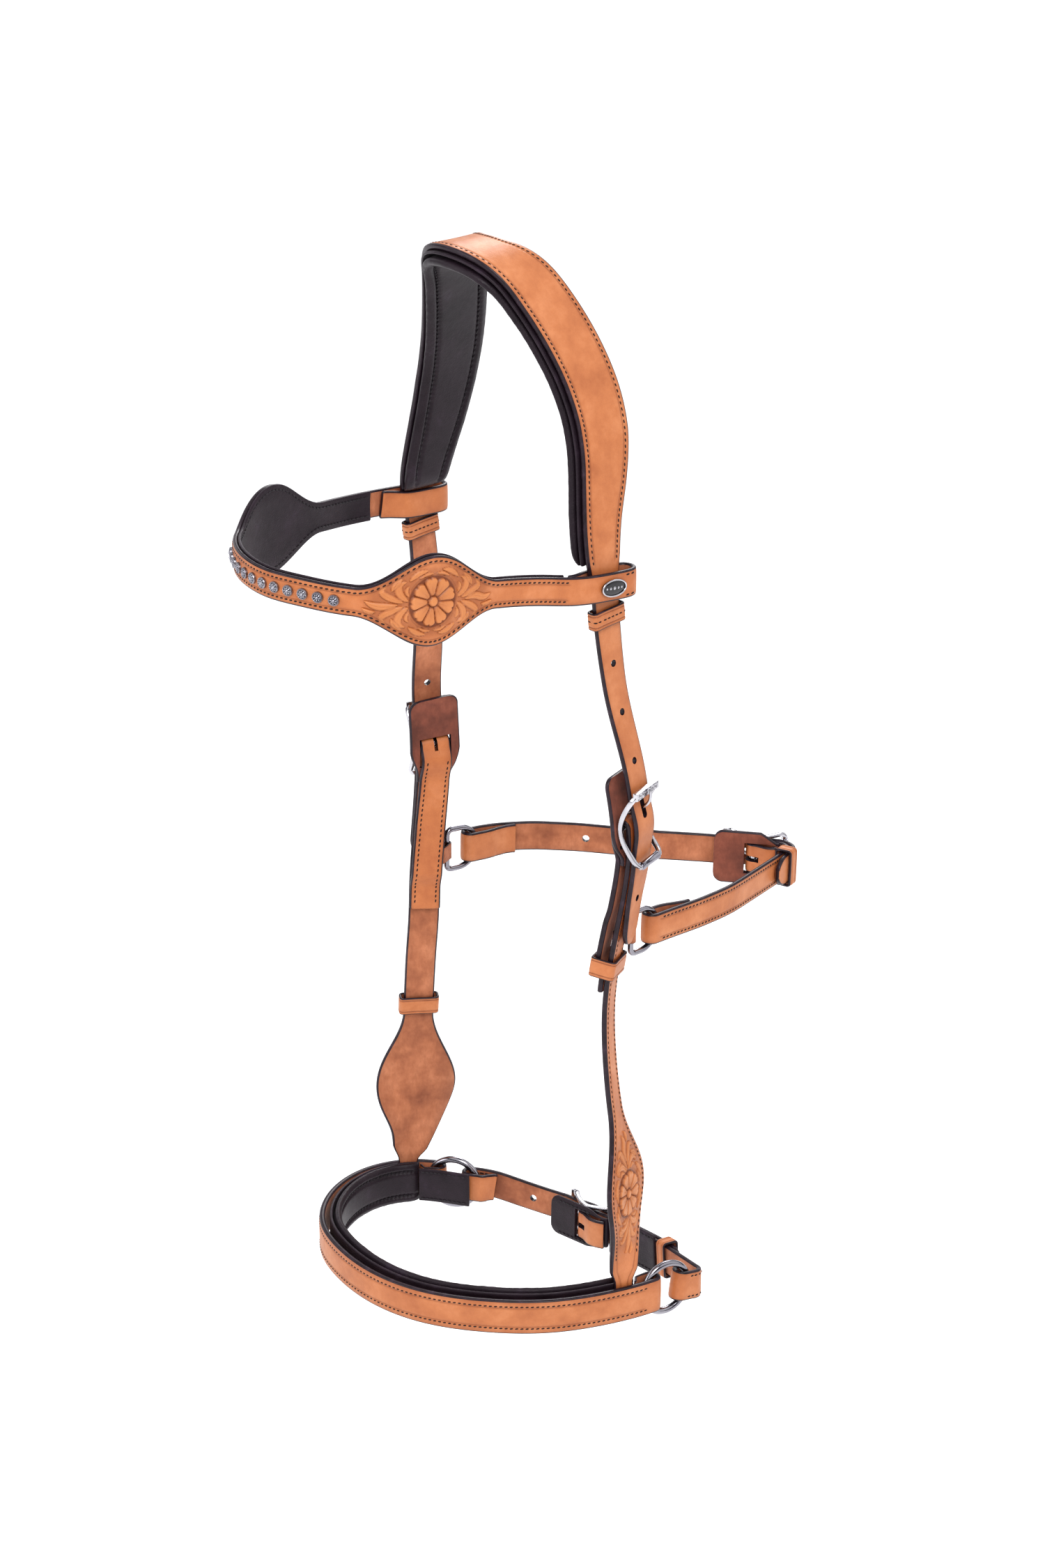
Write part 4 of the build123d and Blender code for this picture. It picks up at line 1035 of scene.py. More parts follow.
def padding(name, path, start, end, half, top, thick, over, channel, flange_over):
    """Flange, roll and roll stitches under a strap; over is how far the roll stands out."""
    half = fixed(half)
    leather(name + "_flange_leather", name + "_flange", BLACK_SET, path, start, end,
            lambda pos: half(pos) + flange_over, top - FLANGE_THICK, top,
            step=2.0, groove=1.0, inset=1.7, across=3)
    roll_top = top - FLANGE_THICK - ROLL_GAP
    padded_roll(name, path, start, end, half, roll_top, thick, over, channel)
    stitching(name + "_roll_stitches", name + "_lining", BLACK_THREAD,
              [(path, start + 6, end - 6, lambda pos: half(pos) + over - channel,
                roll_top - thick + 1.75)], pitch=2.9, scale=0.85)


# ------------------------------------------------------------------ noseband
# (x, y) from the near side forward and round to the far side
NOSE_POINTS = [
    (91.4, 11.0), (90.4, 4.0), (88.3, -6.0), (83.0, -23.0), (74.0, -42.0), (52.0, -67.5),
    (23.0, -86.5), (-9.0, -93.5), (-40.0, -90.5), (-64.0, -81.5), (-81.0, -66.5),
    (-92.0, -47.0), (-95.0, -29.0), (-92.3, -14.5), (-86.5, -3.8), (-77.0, 5.2),
    (-66.0, 12.6), (-54.5, 19.8)]
NOSE = edge_path(curve([(x, y, NOSE_Z) for x, y in NOSE_POINTS]))
NOSE_FOLD = NOSE_THICK / 2 + 0.35 + RING_WIRE         # fold radius
NOSE_RING_REACH = 9.2                                 # from the fold centre to the ring centre
NOSE_NEAR = NOSE.near((88.6, -6.5, NOSE_Z))           # where the near cheek is sewn in
NOSE_FAR = NOSE.near((-88.0, -6.3, NOSE_Z))
NEAR_BEND, FAR_BEND = 0.6, NOSE_FAR + 16.6            # the folds
NOSE_GAP = 2.5                                        # room for the cheek ends
NOSE_PAD_START, NOSE_PAD_END = NEAR_BEND + 10.2, FAR_BEND - 10.2
NOSEBAND = folded(
    turn_back(NOSE, NEAR_BEND, NOSE_FOLD, NEAR_BEND + 9.5, -3.4, -1),
    run(NOSE, NEAR_BEND, FAR_BEND),
    backward(turn_back(NOSE, FAR_BEND, NOSE_FOLD, FAR_BEND - 9.5, -3.4, 1)))


def from_nose_end(pos):
    return min(pos, NOSEBAND.length - pos)


def nose_half(pos):
    return NOSE_HALF - 0.6 + 0.6 * ease(from_nose_end(pos), 0, 12)


def nose_thick(pos):
    full = ease(from_nose_end(pos), 5, 16 + NOSE_FOLD * math.pi)
    return 1.3 + (NOSE_THICK - 1.3) * full


def nose_top(pos):
    level = ease(from_nose_end(pos), 9, 18)
    return NOSE_THICK / 2 * level + (nose_thick(pos) / 2 + 0.5) * (1 - level)


def make_noseband():
    start = NOSEBAND.near(NOSE.point(NOSE_PAD_START))
    end = NOSEBAND.near(NOSE.point(NOSE_PAD_END))
    leather("noseband_front", "noseband_leather", TAN_SET, NOSEBAND, 0, NOSEBAND.length,
            nose_half, lambda pos: nose_top(pos) - nose_thick(pos), nose_top, step=1.5,
            groove=between((start - 4, start - 2), (end + 2, end + 4)), inset=3.3)
    stitching("noseband_stitches", "noseband_leather", THREAD,
              [(NOSEBAND, start - 5, end + 5, lambda pos: nose_half(pos) - 3.3,
                lambda pos: nose_top(pos) - 0.10)])
    padding("noseband", NOSE, NOSE_PAD_START, NOSE_PAD_END, NOSE_HALF,
            top=-NOSE_THICK / 2 - NOSE_GAP, thick=5.3, over=1.9, channel=4.3, flange_over=0.9)
    cover_end = NOSE.near((-59.0, 17.0, NOSE_Z))
    leather("ring_cover_leather", "far_ring_cover", BLACK_SET, NOSE, NOSE_PAD_END + 0.3,
            cover_end, 9.6, -11.0, -9.6, groove=1.0, inset=1.8, across=4)
    stitching("ring_cover_stitches", "far_ring_cover", BLACK_THREAD,
              [(NOSE, NOSE_PAD_END + 2, cover_end - 1, 7.8, -11.05)], pitch=2.7, scale=0.85)


make_noseband()

# ------------------------------------------------------------------ headpiece
# x, y, z, twist in degrees: the normal is (cos, sin, 0). Drawn on the near side from the poll
# down; the far side uses it too and is mirrored.
CHEEK_TOP = [
    (0.0, -31.5, 278.6, 0), (12.5, -29.5, 277.0, 0), (24.7, -23.5, 270.6, 0),
    (35.1, -16.0, 257.0, 0), (45.0, -8.5, 238.0, 0), (54.2, -3.0, 216.0, 0),
    (60.2, -1.8, 197.0, 0), (64.4, -4.5, 175.0, 0), (67.2, -8.0, 157.0, 0),
    (69.4, -9.5, 141.0, 0), (69.6, -8.3, 125.0, 0), (69.2, -6.6, 110.0, 2),
    (70.3, -3.6, 82.0, 9), (73.2, -0.2, 53.6, 14), (77.0, 2.4, 29.0, 16),
    (79.0, 5.0, 3.5, 17), (78.6, 5.2, -15.0, 20), (76.8, 2.0, -38.0, 26),
    (74.6, -2.0, -60.0, 30), (73.2, -4.6, -78.0, 31), (72.6, -5.8, -95.0, 32),
    (73.9, -6.5, -114.0, 32), (78.2, -5.5, -150.0, 30), (84.0, -3.2, -193.0, 26),
    (85.0, -4.6, -222.0, 16)]

# z and half width of the crown leather: wide over the poll and the sides, strap width below
CROWN_HALVES = [
    (-400, 8.0), (118, 8.0), (132, 8.9), (140, 10.2), (158, 11.6), (175, 13.2), (195, 14.6),
    (215, 15.0), (240, 15.0), (262, 14.8), (276, 14.4), (281, 14.2)]


def head_line(nose_pos, mirror, drop):
    """From the poll down the cheek to the inside of the noseband."""
    rows = [list(row) for row in CHEEK_TOP]
    for row in rows[-2:]:
        row[2] -= drop * 0.6
    normal = NOSE.at(nose_pos)[2]
    foot = NOSE.point(nose_pos, 0, -NOSE_THICK / 2 - NOSE_GAP / 2)
    sign = -1 if mirror else 1
    twist = math.degrees(math.atan2(normal[1], sign * normal[0]))
    rows += [[sign * foot[0], foot[1], z, twist] for z in (-241.0, -251.0, -261.0)]
    table = curve(rows)
    centre, twists = table[:, :3], np.radians(table[:, 3])
    along = unit(np.gradient(centre, axis=0))
    flat = np.stack([np.cos(twists), np.sin(twists), 0 * twists], 1)
    upright = unit(np.stack([-along[:, 2], 0 * twists, along[:, 0]], 1))
    blend = np.clip((centre[:, 2:3] - 130) / 40, 0, 1)
    return Path(centre, unit(flat * (1 - blend) + upright * blend))


def z_pos(line, z):
    """The pos where a falling line reaches height z."""
    return float(np.interp(-z, -line.centre[:, 2], line.dist))


class Side:
    """One side of the head: its line and the stations on it."""

    def __init__(self, prefix, nose_pos, mirror, drop, low_keeper_z, up_keeper_z, dee_z,
                 lobe_z, pad_z):
        self.prefix, self.mirror = prefix, mirror
        self.line = head_line(nose_pos, mirror, drop)
        self.bar = self.line.near((79.0, 5.0, 3.5)) + drop
        self.tip = self.bar + 62
        self.low_keeper, self.up_keeper, self.dee, self.lobe, self.pad_end = (
            z_pos(self.line, z) for z in (low_keeper_z, up_keeper_z, dee_z, lobe_z, pad_z))

    def billet_out(self, pos):
        past = pos - self.bar
        return (BILLET_OUT * ease(past, -75, -24) + 1.6 * bell(past, 16)
                + 1.8 * ease(past, 34, 64))


NEAR = Side("near", NOSE_NEAR, mirror=False, drop=0.0, low_keeper_z=-71.0, up_keeper_z=109.5,
            dee_z=-59.5, lobe_z=-193.0, pad_z=137.0)
FAR = Side("far", NOSE_FAR, mirror=True, drop=FAR_DROP, low_keeper_z=-147.0,
           up_keeper_z=118.4, dee_z=-62.5, lobe_z=-198.5, pad_z=141.0)
SIDES = (NEAR, FAR)


def head_path():
    """One line over the poll, from the far tip to the near tip."""
    centre = np.vstack([FAR.line.centre[::-1][:-1] * MIRROR, NEAR.line.centre])
    normal = np.vstack([FAR.line.normal[::-1][:-1] * MIRROR, NEAR.line.normal])
    top = (np.abs(centre[:, 0]) < 16)[1:-1]
    for _ in range(40):                     # takes the small peak off the poll
        smooth = (centre[:-2] + 2 * centre[1:-1] + centre[2:]) / 4
        centre[1:-1][top] = smooth[top]
    return Path(centre, normal)


HEAD = head_path()
POLL_POS = HEAD.near(CHEEK_TOP[0][:3])


def head_side(pos):
    """The side that a pos of HEAD lies on, and the pos on that side's line."""
    return (NEAR, pos - POLL_POS) if pos >= POLL_POS else (FAR, POLL_POS - pos)


def head_half(pos):
    side, own_pos = head_side(pos)
    crown = float(np.interp(side.line.at(own_pos)[0][2], *zip(*CROWN_HALVES)))
    return tip_round(crown, own_pos, side.tip)


def head_thick(pos):
    side, own_pos = head_side(pos)
    z = side.line.at(own_pos)[0][2]
    return CROWN_THICK - (CROWN_THICK - BILLET_THICK) * ease(-z, -134, -112)


def head_out(pos):
    side, own_pos = head_side(pos)
    return side.billet_out(own_pos)


def make_headpiece():
    start, end = POLL_POS - FAR.pad_end, POLL_POS + NEAR.pad_end
    punches = []
    for side, sign in ((NEAR, 1), (FAR, -1)):
        # past the bar, radius, length of the slot
        for past, radius, slot in ((-83, 1.75, 0), (-58, 1.75, 0), (-33, 1.75, 0),
                                   (38, 1.75, 0), (-9.8, PUNCH_RADIUS, 12.0)):
            pos = side.bar + past
            punches.append(punch(HEAD, POLL_POS + sign * pos, radius,
                                 side.billet_out(pos), slot))
    leather("headpiece_leather", "headpiece_strap", TAN_SET, HEAD, POLL_POS - FAR.tip,
            POLL_POS + NEAR.tip, head_half, lambda pos: head_out(pos) - head_thick(pos) / 2,
            lambda pos: head_out(pos) + head_thick(pos) / 2, step=1.7, inset=2.7,
            groove=between((start - 1, start + 1), (end - 1, end + 1)), cuts=punches)
    stitching("headpiece_stitches", "headpiece_strap", THREAD,
              [(HEAD, start + 1, end - 1, lambda pos: head_half(pos) - 2.7,
                lambda pos: head_thick(pos) / 2 - 0.12)])
    padding("headpiece", HEAD, start, end, head_half, top=-CROWN_THICK / 2 - 0.22,
            thick=6.6, over=2.4, channel=5.4, flange_over=1.6)


make_headpiece()


# ------------------------------------------------------------------ cheeks
def make_cheek(side):
    line, mirror = side.line, side.mirror
    fold, bar = chape(line, side.bar, side.bar + 88.0, tab=side.dee - side.bar)
    path = folded(fold, run(line, side.bar, z_pos(line, -260.2)))
    lobe = path.near(line.point(side.lobe))
    low = path.near(line.point(z_pos(line, -236)))
    bend = path.near(line.point(side.bar + 3))
    slot = slot_span(path, bar)

    def half(pos):
        lobed = STRAP_HALF + (LOBE_WIDTH - STRAP_WIDTH) / 2 * bell(pos - lobe, 46) ** 0.95
        return lobed - 3.0 * ease(pos, low - 2, low + 6.5)

    def top(pos):
        return (CHAPE_THICK - 1.4 * ease(pos, low - 4, low + 6.5)) / 2

    def seam(pos):
        return half(pos) - 2.6

    node = side.prefix + "_cheekpiece"
    carved_strap(side.prefix + "_cheek_leather", node, path, 0, path.length, half,
                 lambda pos: -top(pos), top, [lobe], mirror=mirror, inset=2.6, slot=slot,
                 groove=lambda pos: ease(pos, bend + 14, bend + 16))
    stitching(side.prefix + "_cheek_stitches", node, THREAD,
              [(path, bend + 17, low - 8, seam, lambda pos: top(pos) - 0.1),
               (path, 3.0, slot[0] - 5, seam, lambda pos: top(pos) - 0.12)], mirror=mirror)


for each_side in SIDES:
    make_cheek(each_side)


# ------------------------------------------------------------------ keepers
def keeper(node, line, pos, half_wide, low, high, tall, thick, mirror=False, seam=False):
    """A closed band of leather round the layers, with creased edges and maybe a middle seam."""
    centre, along, normal, across = line.at(pos)
    bend = 1.5
    wide, deep = half_wide + thick / 2, (high - low) / 2 + thick / 2
    corners = [(wide - bend, deep - bend, 0), (-(wide - bend), deep - bend, 90),
               (-(wide - bend), -(deep - bend), 180), (wide - bend, -(deep - bend), 270)]
    ring = [(x + bend * math.cos(math.radians(turn)), y + bend * math.sin(math.radians(turn)))
            for x, y, first in corners for turn in np.linspace(first, first + 90, 7)]
    ring = np.array(subdivide(ring + ring[:1], 0.8))
    ahead = unit(np.roll(ring, -1, 0) - np.roll(ring, 1, 0))
    outside = np.stack([ahead[:, 1], -ahead[:, 0]], 1)
    half, radius = tall / 2, min(0.55, thick * 0.4)
    flat, top = half - radius, thick / 2

    # section of (along the strap, out of the band, zone), zones as on a ribbon
    rim = [(flat - offset, top - dip, 0) for offset, dip in
           ((0, 0.05), (0.7, 0.0), (1.15, 0.42), (1.6, 0.0), (2.2, 0.0))]
    edge = [(flat + radius * math.cos(turn), top * math.sin(turn), 1)
            for turn in np.linspace(math.pi / 2, -math.pi / 2, 6)[1:-1]]
    section = [(-x, y, zone) for x, y, zone in rim]
    section += [(-0.5, top, 0), (0, top - (0.18 if seam else 0), 0), (0.5, top, 0)]
    section += rim[::-1] + edge + [(flat, -top, 2), (0, -top, 2), (-flat, -top, 2)]
    section += [(-x, y, zone) for x, y, zone in edge[::-1]]
    x, y, zone = np.array(section).T
    zone = zone.astype(int)

    rows, dist = len(ring), lengths(ring)
    wobble = 0.08 * np.sin(dist * 0.35 + np.random.default_rng(5).uniform(0, 0.2, rows))
    basis = np.array([across, normal])
    middle = centre + (low + high) / 2 * normal
    verts = (middle + (x + wobble[:, None])[..., None] * along
             + (ring[:, None] + outside[:, None] * y[:, None]) @ basis).reshape(-1, 3)
    uv = np.stack([np.repeat(dist[:, None], len(x), 1) / 10,
                   np.tile(x / 10 + 100 * (zone == 2), (rows, 1))], -1).reshape(-1, 2)
    # painted shade: the creases are darkened along with the edge
    crease = (zone == 0) & (abs(flat - 1.15 - abs(x)) < 0.05)
    near = np.maximum(np.exp(-np.maximum(0, half - abs(x)) / 0.8), crease)
    faces = outward(verts, wall_faces(rows, len(x), closed=True))
    name = node + "_band"
    piece = mesh_object(name, (verts, faces), TAN_SET, np.tile(face_zones(zone), rows), uv,
                        np.tile(near, rows), mirror)
    stand_for(piece, node)
    if seam:
        parts = []
        total = dist[-1] + np.linalg.norm(ring[0] - ring[-1])
        for goal in np.arange(1.0, total, 2.6):
            k = int(np.searchsorted(dist, goal)) % rows
            spot = middle + (ring[k] + outside[k] * (top - 0.1)) @ basis
            parts.append(stitch(spot, ahead[k] @ basis, outside[k] @ basis, 0.85))
        stitches = mesh_object(name + "_stitches", join(parts), [THREAD], mirror=mirror,
                               smooth=80)
        ride_with(stitches, node)


for each_side in SIDES:
    keeper(each_side.prefix + "_upper_keeper", each_side.line, each_side.up_keeper,
           half_wide=8.75, low=-1.95, high=1.95, tall=9.0, thick=1.35,
           mirror=each_side.mirror, seam=True)
keeper("near_lower_keeper", NEAR.line, NEAR.low_keeper, half_wide=8.8, low=-8.3, high=2.15,
       tall=10.0, thick=1.35)
keeper("far_lower_keeper", FAR.line, FAR.low_keeper, half_wide=9.1, low=-2.1, high=2.15,
       tall=10.0, thick=1.35, mirror=True)


# ------------------------------------------------------------------ buckles
def circle(count):
    return np.linspace(0, 2 * math.pi, count + 1)[:-1]


def plate(spot, middle, half_long, half_wide, low, high):
    """The engraved front bar: a cushion-edged plate with leaf scrolls cut in its face.
    spot(along, side, out) gives points. Returns the shape and how dark each vertex is made: patina in
    the engraving and painted shade on the underside."""
    cols, rows = 44, 12
    across = np.linspace(-half_wide, half_wide, cols)
    along = np.linspace(middle - half_long, middle + half_long, rows)
    verts, deep = [], []
    for y in along:
        for x in across:
            part_x = (x + half_wide) / (2 * half_wide)
            part_y = (y - along[0]) / (2 * half_long)
            inside = min(min(part_x, 1 - part_x) * 2 * half_wide,
                         min(part_y, 1 - part_y) * 2 * half_long)
            rim = min(1.0, max(0.0, inside / 0.45)) ** 0.5
            scroll = math.sin(part_x * 6 * math.pi + 1.2 * math.sin(part_y * 2 * math.pi))
            scroll *= math.cos(part_y * 3 * math.pi + 0.9 * math.sin(part_x * 4 * math.pi))
            scroll += 0.35 * math.sin(part_x * 13 * math.pi)
            engraved = max(0.0, 1 - abs(scroll) / 0.34) if inside > 0.55 else 0.0
            out = low + (high - low) * (0.35 + 0.65 * rim) - 0.28 * engraved
            verts.append(spot(y, x, out))
            deep.append(engraved)
    verts += [spot(y, x, low) for y in along for x in across]
    # painted shade under the plate
    deep += [0.3] * (rows * cols)
    top = np.arange(cols * rows).reshape(rows, cols)
    low_grid = top + cols * rows
    faces = []
    for i in range(rows - 1):
        for j in range(cols - 1):
            faces.append((top[i, j], top[i, j + 1], top[i + 1, j + 1], top[i + 1, j]))
            faces.append((low_grid[i, j], low_grid[i + 1, j], low_grid[i + 1, j + 1],
                          low_grid[i, j + 1]))
    for j in range(cols - 1):
        faces.append((top[0, j], low_grid[0, j], low_grid[0, j + 1], top[0, j + 1]))
        faces.append((top[-1, j + 1], low_grid[-1, j + 1], low_grid[-1, j], top[-1, j]))
    for i in range(rows - 1):
        faces.append((top[i + 1, 0], low_grid[i + 1, 0], low_grid[i, 0], top[i, 0]))
        faces.append((top[i, -1], low_grid[i, -1], low_grid[i + 1, -1], top[i + 1, -1]))
    verts = np.array(verts)
    return (verts, outward(verts, faces)), deep


def buckle(line, bar, prefix, reach, mirror=False):
    centre, along, normal, across = line.at(bar)
    end_half = FRAME_HALF - 1.6

    def spot(past, side, out):
        return centre + past * along + side * across + out * normal

    # frame: two bowed sides, the bar, the far end and the engraved front
    parts = []
    places = np.linspace(-1, 1, 41)
    for sign in (-1, 1):
        points = []
        for part in places:
            turn = max(0.0, (abs(part) - 0.84) / 0.16)
            bow = BAR_OUT + (END_OUT - BAR_OUT) * (abs(part * reach) / reach) ** 1.6
            points.append(spot(part * reach, sign * (FRAME_HALF - 1.6 * turn**2), bow))
        parts.append(tube(points, 1.45 - 0.15 * np.abs(places) ** 3, 1.0, normal=normal,
                          sides=20, square=0.62))
    for past, out, half, radius in ((0, BAR_OUT, FRAME_HALF - 0.3, 1.2),
                                    (reach, END_OUT, end_half + 0.4, 1.22)):
        points = [spot(past, side, out) for side in np.linspace(-half, half, 9)]
        parts.append(tube(points, radius, sides=18))
    front, front_deep = plate(spot, middle=-reach, half_long=2.2, half_wide=end_half + 1.5,
                              low=END_OUT - 0.9, high=END_OUT + 1.25)
    shape = join(parts + [front])
    piece = mesh_object(prefix + "_frame_metal", shape, [NICKEL], mirror=mirror, smooth=40)
    plain = len(shape[0]) - len(front_deep)
    vertex_value(piece.data, "deep", np.r_[np.zeros(plain), front_deep])
    stand_for(piece, prefix + "_buckle_frame")

    # roller with a raised rim at each end
    insets = [1.5, 1.6, 2.3, 2.6]
    radii = [1.5, ROLLER_RADIUS, ROLLER_RADIUS, 1.88]
    sides = [inset - end_half for inset in insets]
    sides += [end_half - inset for inset in insets[::-1]]
    roller = tube([spot(reach, side, END_OUT) for side in sides], radii + radii[::-1], sides=28)
    piece = mesh_object(prefix + "_roller_metal", roller, [DARK_NICKEL], mirror=mirror,
                        smooth=40)
    stand_for(piece, prefix + "_buckle_roller")

    # tongue: an eye rolled round the bar and a tapered prong over to the front
    tip_out = END_OUT + WIRE_RADIUS + 1.05
    turns = circle(28)
    eye = tube([spot(1.9 * math.cos(turn), 0, BAR_OUT + 1.9 * math.sin(turn))
                for turn in turns], 0.52, 1.05,
               normal=[normal * math.sin(turn) + along * math.cos(turn) for turn in turns],
               closed=True, sides=12, square=0.7)
    points = curve([spot(-1.6, 0, BAR_OUT + 1.3), spot(-reach * 0.4, 0, BAR_OUT + 5.2),
                    spot(-reach * 0.76, 0, tip_out - 0.35), spot(-reach - 1.6, 0, tip_out)],
                   0.6)
    part = np.linspace(0, 1, len(points))
    point_cut = 0.4 * np.clip((part - 0.94) / 0.06, 0, 1)
    prong = tube(points, 0.88 - 0.16 * part - point_cut, 0.95 - 0.2 * part - point_cut,
                 normal=normal, sides=16)
    piece = mesh_object(prefix + "_tongue_metal", join([eye, prong]), [NICKEL],
                        mirror=mirror, smooth=50)
    stand_for(piece, prefix + "_buckle_tongue")


def guard_out(past):
    return -5.45 + 2.6 * ease(past, 10, 18)


def guard(line, bar, prefix, top, low, half, mirror=False, mats=GUARD_SET, groove=0.0):
    """The leather under a buckle, from top before the bar to low past it."""

    def guard_half(pos):
        past = pos - bar
        if past < -top + 5:
            return half - 5 + math.sqrt(max(0, 25 - (-top + 5 - past) ** 2))
        return half + (8.6 - half) * ease(past, 2, low - 1) if past > 4 else half

    # room for the fold round the bar
    spots = tidy(np.arange(bar - 4.7, bar + 12.6, 1.4))
    centre, _, normal, across = line.at(spots)
    verts = np.stack([centre + side * across + out * normal for side, out in
                      ((-8.5, -9), (8.5, -9), (8.5, -1.5), (-8.5, -1.5))], 1).reshape(-1, 3)
    leather(prefix + "_guard_leather", prefix + "_buckle_guard", mats, line, bar - top,
            bar + low, guard_half, lambda pos: guard_out(pos - bar) - 1.1,
            lambda pos: guard_out(pos - bar) + 1.1, mirror=mirror, step=1.2, across=9,
            cuts=[(verts, wall_faces(len(spots), 4))], cap=0.3, inset=1.9, groove=groove,
            crown=0.25, fine=[(bar - top, bar - top + 5.2, 0.35)])


for each_side in SIDES:
    buckle_name = each_side.prefix + "_cheek"
    buckle(each_side.line, each_side.bar, buckle_name, REACH, each_side.mirror)
    guard(each_side.line, each_side.bar, buckle_name, top=27.0, low=21.0, half=13.5,
          mirror=each_side.mirror)


# ------------------------------------------------------------------ rein rings
def rein_ring(bend, end, name):
    """The ring in a fold of the noseband; returns its centre and the along and normal there."""
    centre, along, normal, _ = NOSE.at(bend)
    centre = centre - NOSE_FOLD * normal + end * NOSE_RING_REACH * along
    upward = np.array([0, 0, 1.0])
    level = np.cross(normal, upward)
    points = [centre + RING_RADIUS * (math.cos(turn) * upward + math.sin(turn) * level)
              for turn in circle(96)]
    shape = tube(points, RING_WIRE, normal=normal, closed=True, sides=28)
    stand_for(mesh_object(name + "_metal", shape, [RING_METAL], smooth=80), name)
    return centre, along, normal


near_centre, near_along, near_normal = rein_ring(NEAR_BEND, -1, "near_rein_ring")
far_centre, far_along, far_normal = rein_ring(FAR_BEND, 1, "far_rein_ring")

# ------------------------------------------------------------------ browband
INNER_X = 65.6

# far side forward and round to the near side
BROW_FRONT = [
    (-74.5, -48.0, 134.5), (-69.0, -72.0, 137.0), (-64.5, -92.0, 139.0),
    (-61.0, -106.0, 140.5), (-54.0, -124.0, 142.0), (-42.0, -139.0, 143.2),
    (-24.0, -151.5, 144.0), (-7.0, -157.5, 144.2), (11.0, -158.6, 144.0),
    (27.0, -154.5, 143.8), (41.0, -148.0, 143.0), (53.0, -139.0, 142.0),
    (62.5, -127.5, 141.2), (67.0, -112.0, 140.2), (68.4, -94.0, 138.2),
    (68.8, -68.0, 134.6), (71.3, -46.0, 131.0)]


def brow_end(sign, z):
    """The band's end: back along the cheek, round behind the strap and forward inside it."""
    outer = [(73.6, -31.0, z + 2.6), (75.0, -20.0, z + 1.4), (75.2, -8.0, z + 0.4),
             (75.2, -2.0, z)]
    bend = [(70.4 + 4.8 * math.cos(turn), 3.0 + 4.6 * math.sin(turn), z)
            for turn in np.linspace(0.3, math.pi - 0.3, 7)]
    inner = [(INNER_X, -3.0, z), (INNER_X, -10.0, z + 0.3), (INNER_X + 0.9, -19.0, z + 0.9),
             (INNER_X + 3.6, -26.0, z + 1.8), (INNER_X + 4.6, -33.0, z + 2.8)]
    return [(sign * x, y, height) for x, y, height in outer + bend + inner]


# near end first, so that the normal points out
BROW = edge_path(curve(brow_end(1, 125.5)[::-1] + BROW_FRONT[::-1] + brow_end(-1, 131.5)))
LOBES = [BROW.near((67.2, -110.0, 140.0)), BROW.near((-60.5, -107.0, 140.5))]


def brow_half(pos):
    lobe = max(bell(pos - centre, 37) for centre in LOBES)
    return BROW_WIDTH / 2 + (LOBE_WIDTH - BROW_WIDTH) / 2 * lobe**0.95


def make_browband():
    start, end = BROW.near((71.6, -45.0, 131.0)), BROW.near((-74.2, -49.5, 134.5))
    carved_strap("browband_front", "browband_leather", BROW, 1.5, BROW.length - 1.5,
                 brow_half, -1.2, 1.2, LOBES, inset=2.4,
                 groove=between((start - 12, start - 11), (end + 11, end + 12)))
    stitching("browband_stitches", "browband_leather", THREAD,
              [(BROW, start - 11, end + 11, lambda pos: brow_half(pos) - 2.4, 1.1),
               (BROW, start - 50, start - 44, 5.0, 1.15),
               (BROW, end + 12, end + 17, 5.0, 1.15)])
    start, end = BROW.near((73.2, -36.5, 129.6)), BROW.near((-73.6, -37.0, 134.0))
    leather("browband_backing", "browband_lining", BLACK_SET, BROW, start, end,
            lambda pos: brow_half(pos) + 0.5, -2.9, -1.35, step=1.8, across=5, crown=0.0,
            under=-0.5)
    stitching("browband_backing_stitches", "browband_lining", BLACK_THREAD,
              [(BROW, start + 2, end - 2, lambda pos: brow_half(pos) - 2.2, -2.78)],
              scale=0.9)


make_browband()

# studs: a beaded rim, eight petals and a domed middle, drawn at 4 mm radius and scaled across
STUD_STEP, STUDS, STUD_SCALE, STUD_BASE = 7.7, 12, 0.66, 1.28
STUD_RADII = [0.45, 0.8, 1.05, 1.3, 1.7, 2.1, 2.5, 2.85, 3.1, 3.35, 3.6, 3.85, 4.0]


def stud_height(radius, turn):
    """Height over the base and how deep the spot lies, which the metal darkens as painted shade."""
    if radius < 1.1:
        return 1.55 + 0.55 * math.sqrt(max(0, 1 - (radius / 1.1) ** 2)), 0.0
    if radius < 2.95:
        off = abs((turn + math.pi / 8) % (math.pi / 4) - math.pi / 8) / (math.pi / 8)
        part = (radius - 1.1) / 1.85
        swell = math.sin(math.pi * min(1, part * 0.9 + 0.1)) * (1 - off**2.2) ** 0.6
        rims = (0.8 if part < 0.08 else 0.0) + (0.7 if part > 0.93 else 0.0)
        return 1.15 + 0.62 * swell, min(1.0, max(0.0, off * 1.6 - 0.6) + rims)
    if radius < 3.65:
        beads = 0.5 + 0.5 * math.cos(turn * 16)
        return 1.25 + 0.25 * beads, 0.6 * (1 - beads)
    return 0.95, 0.1


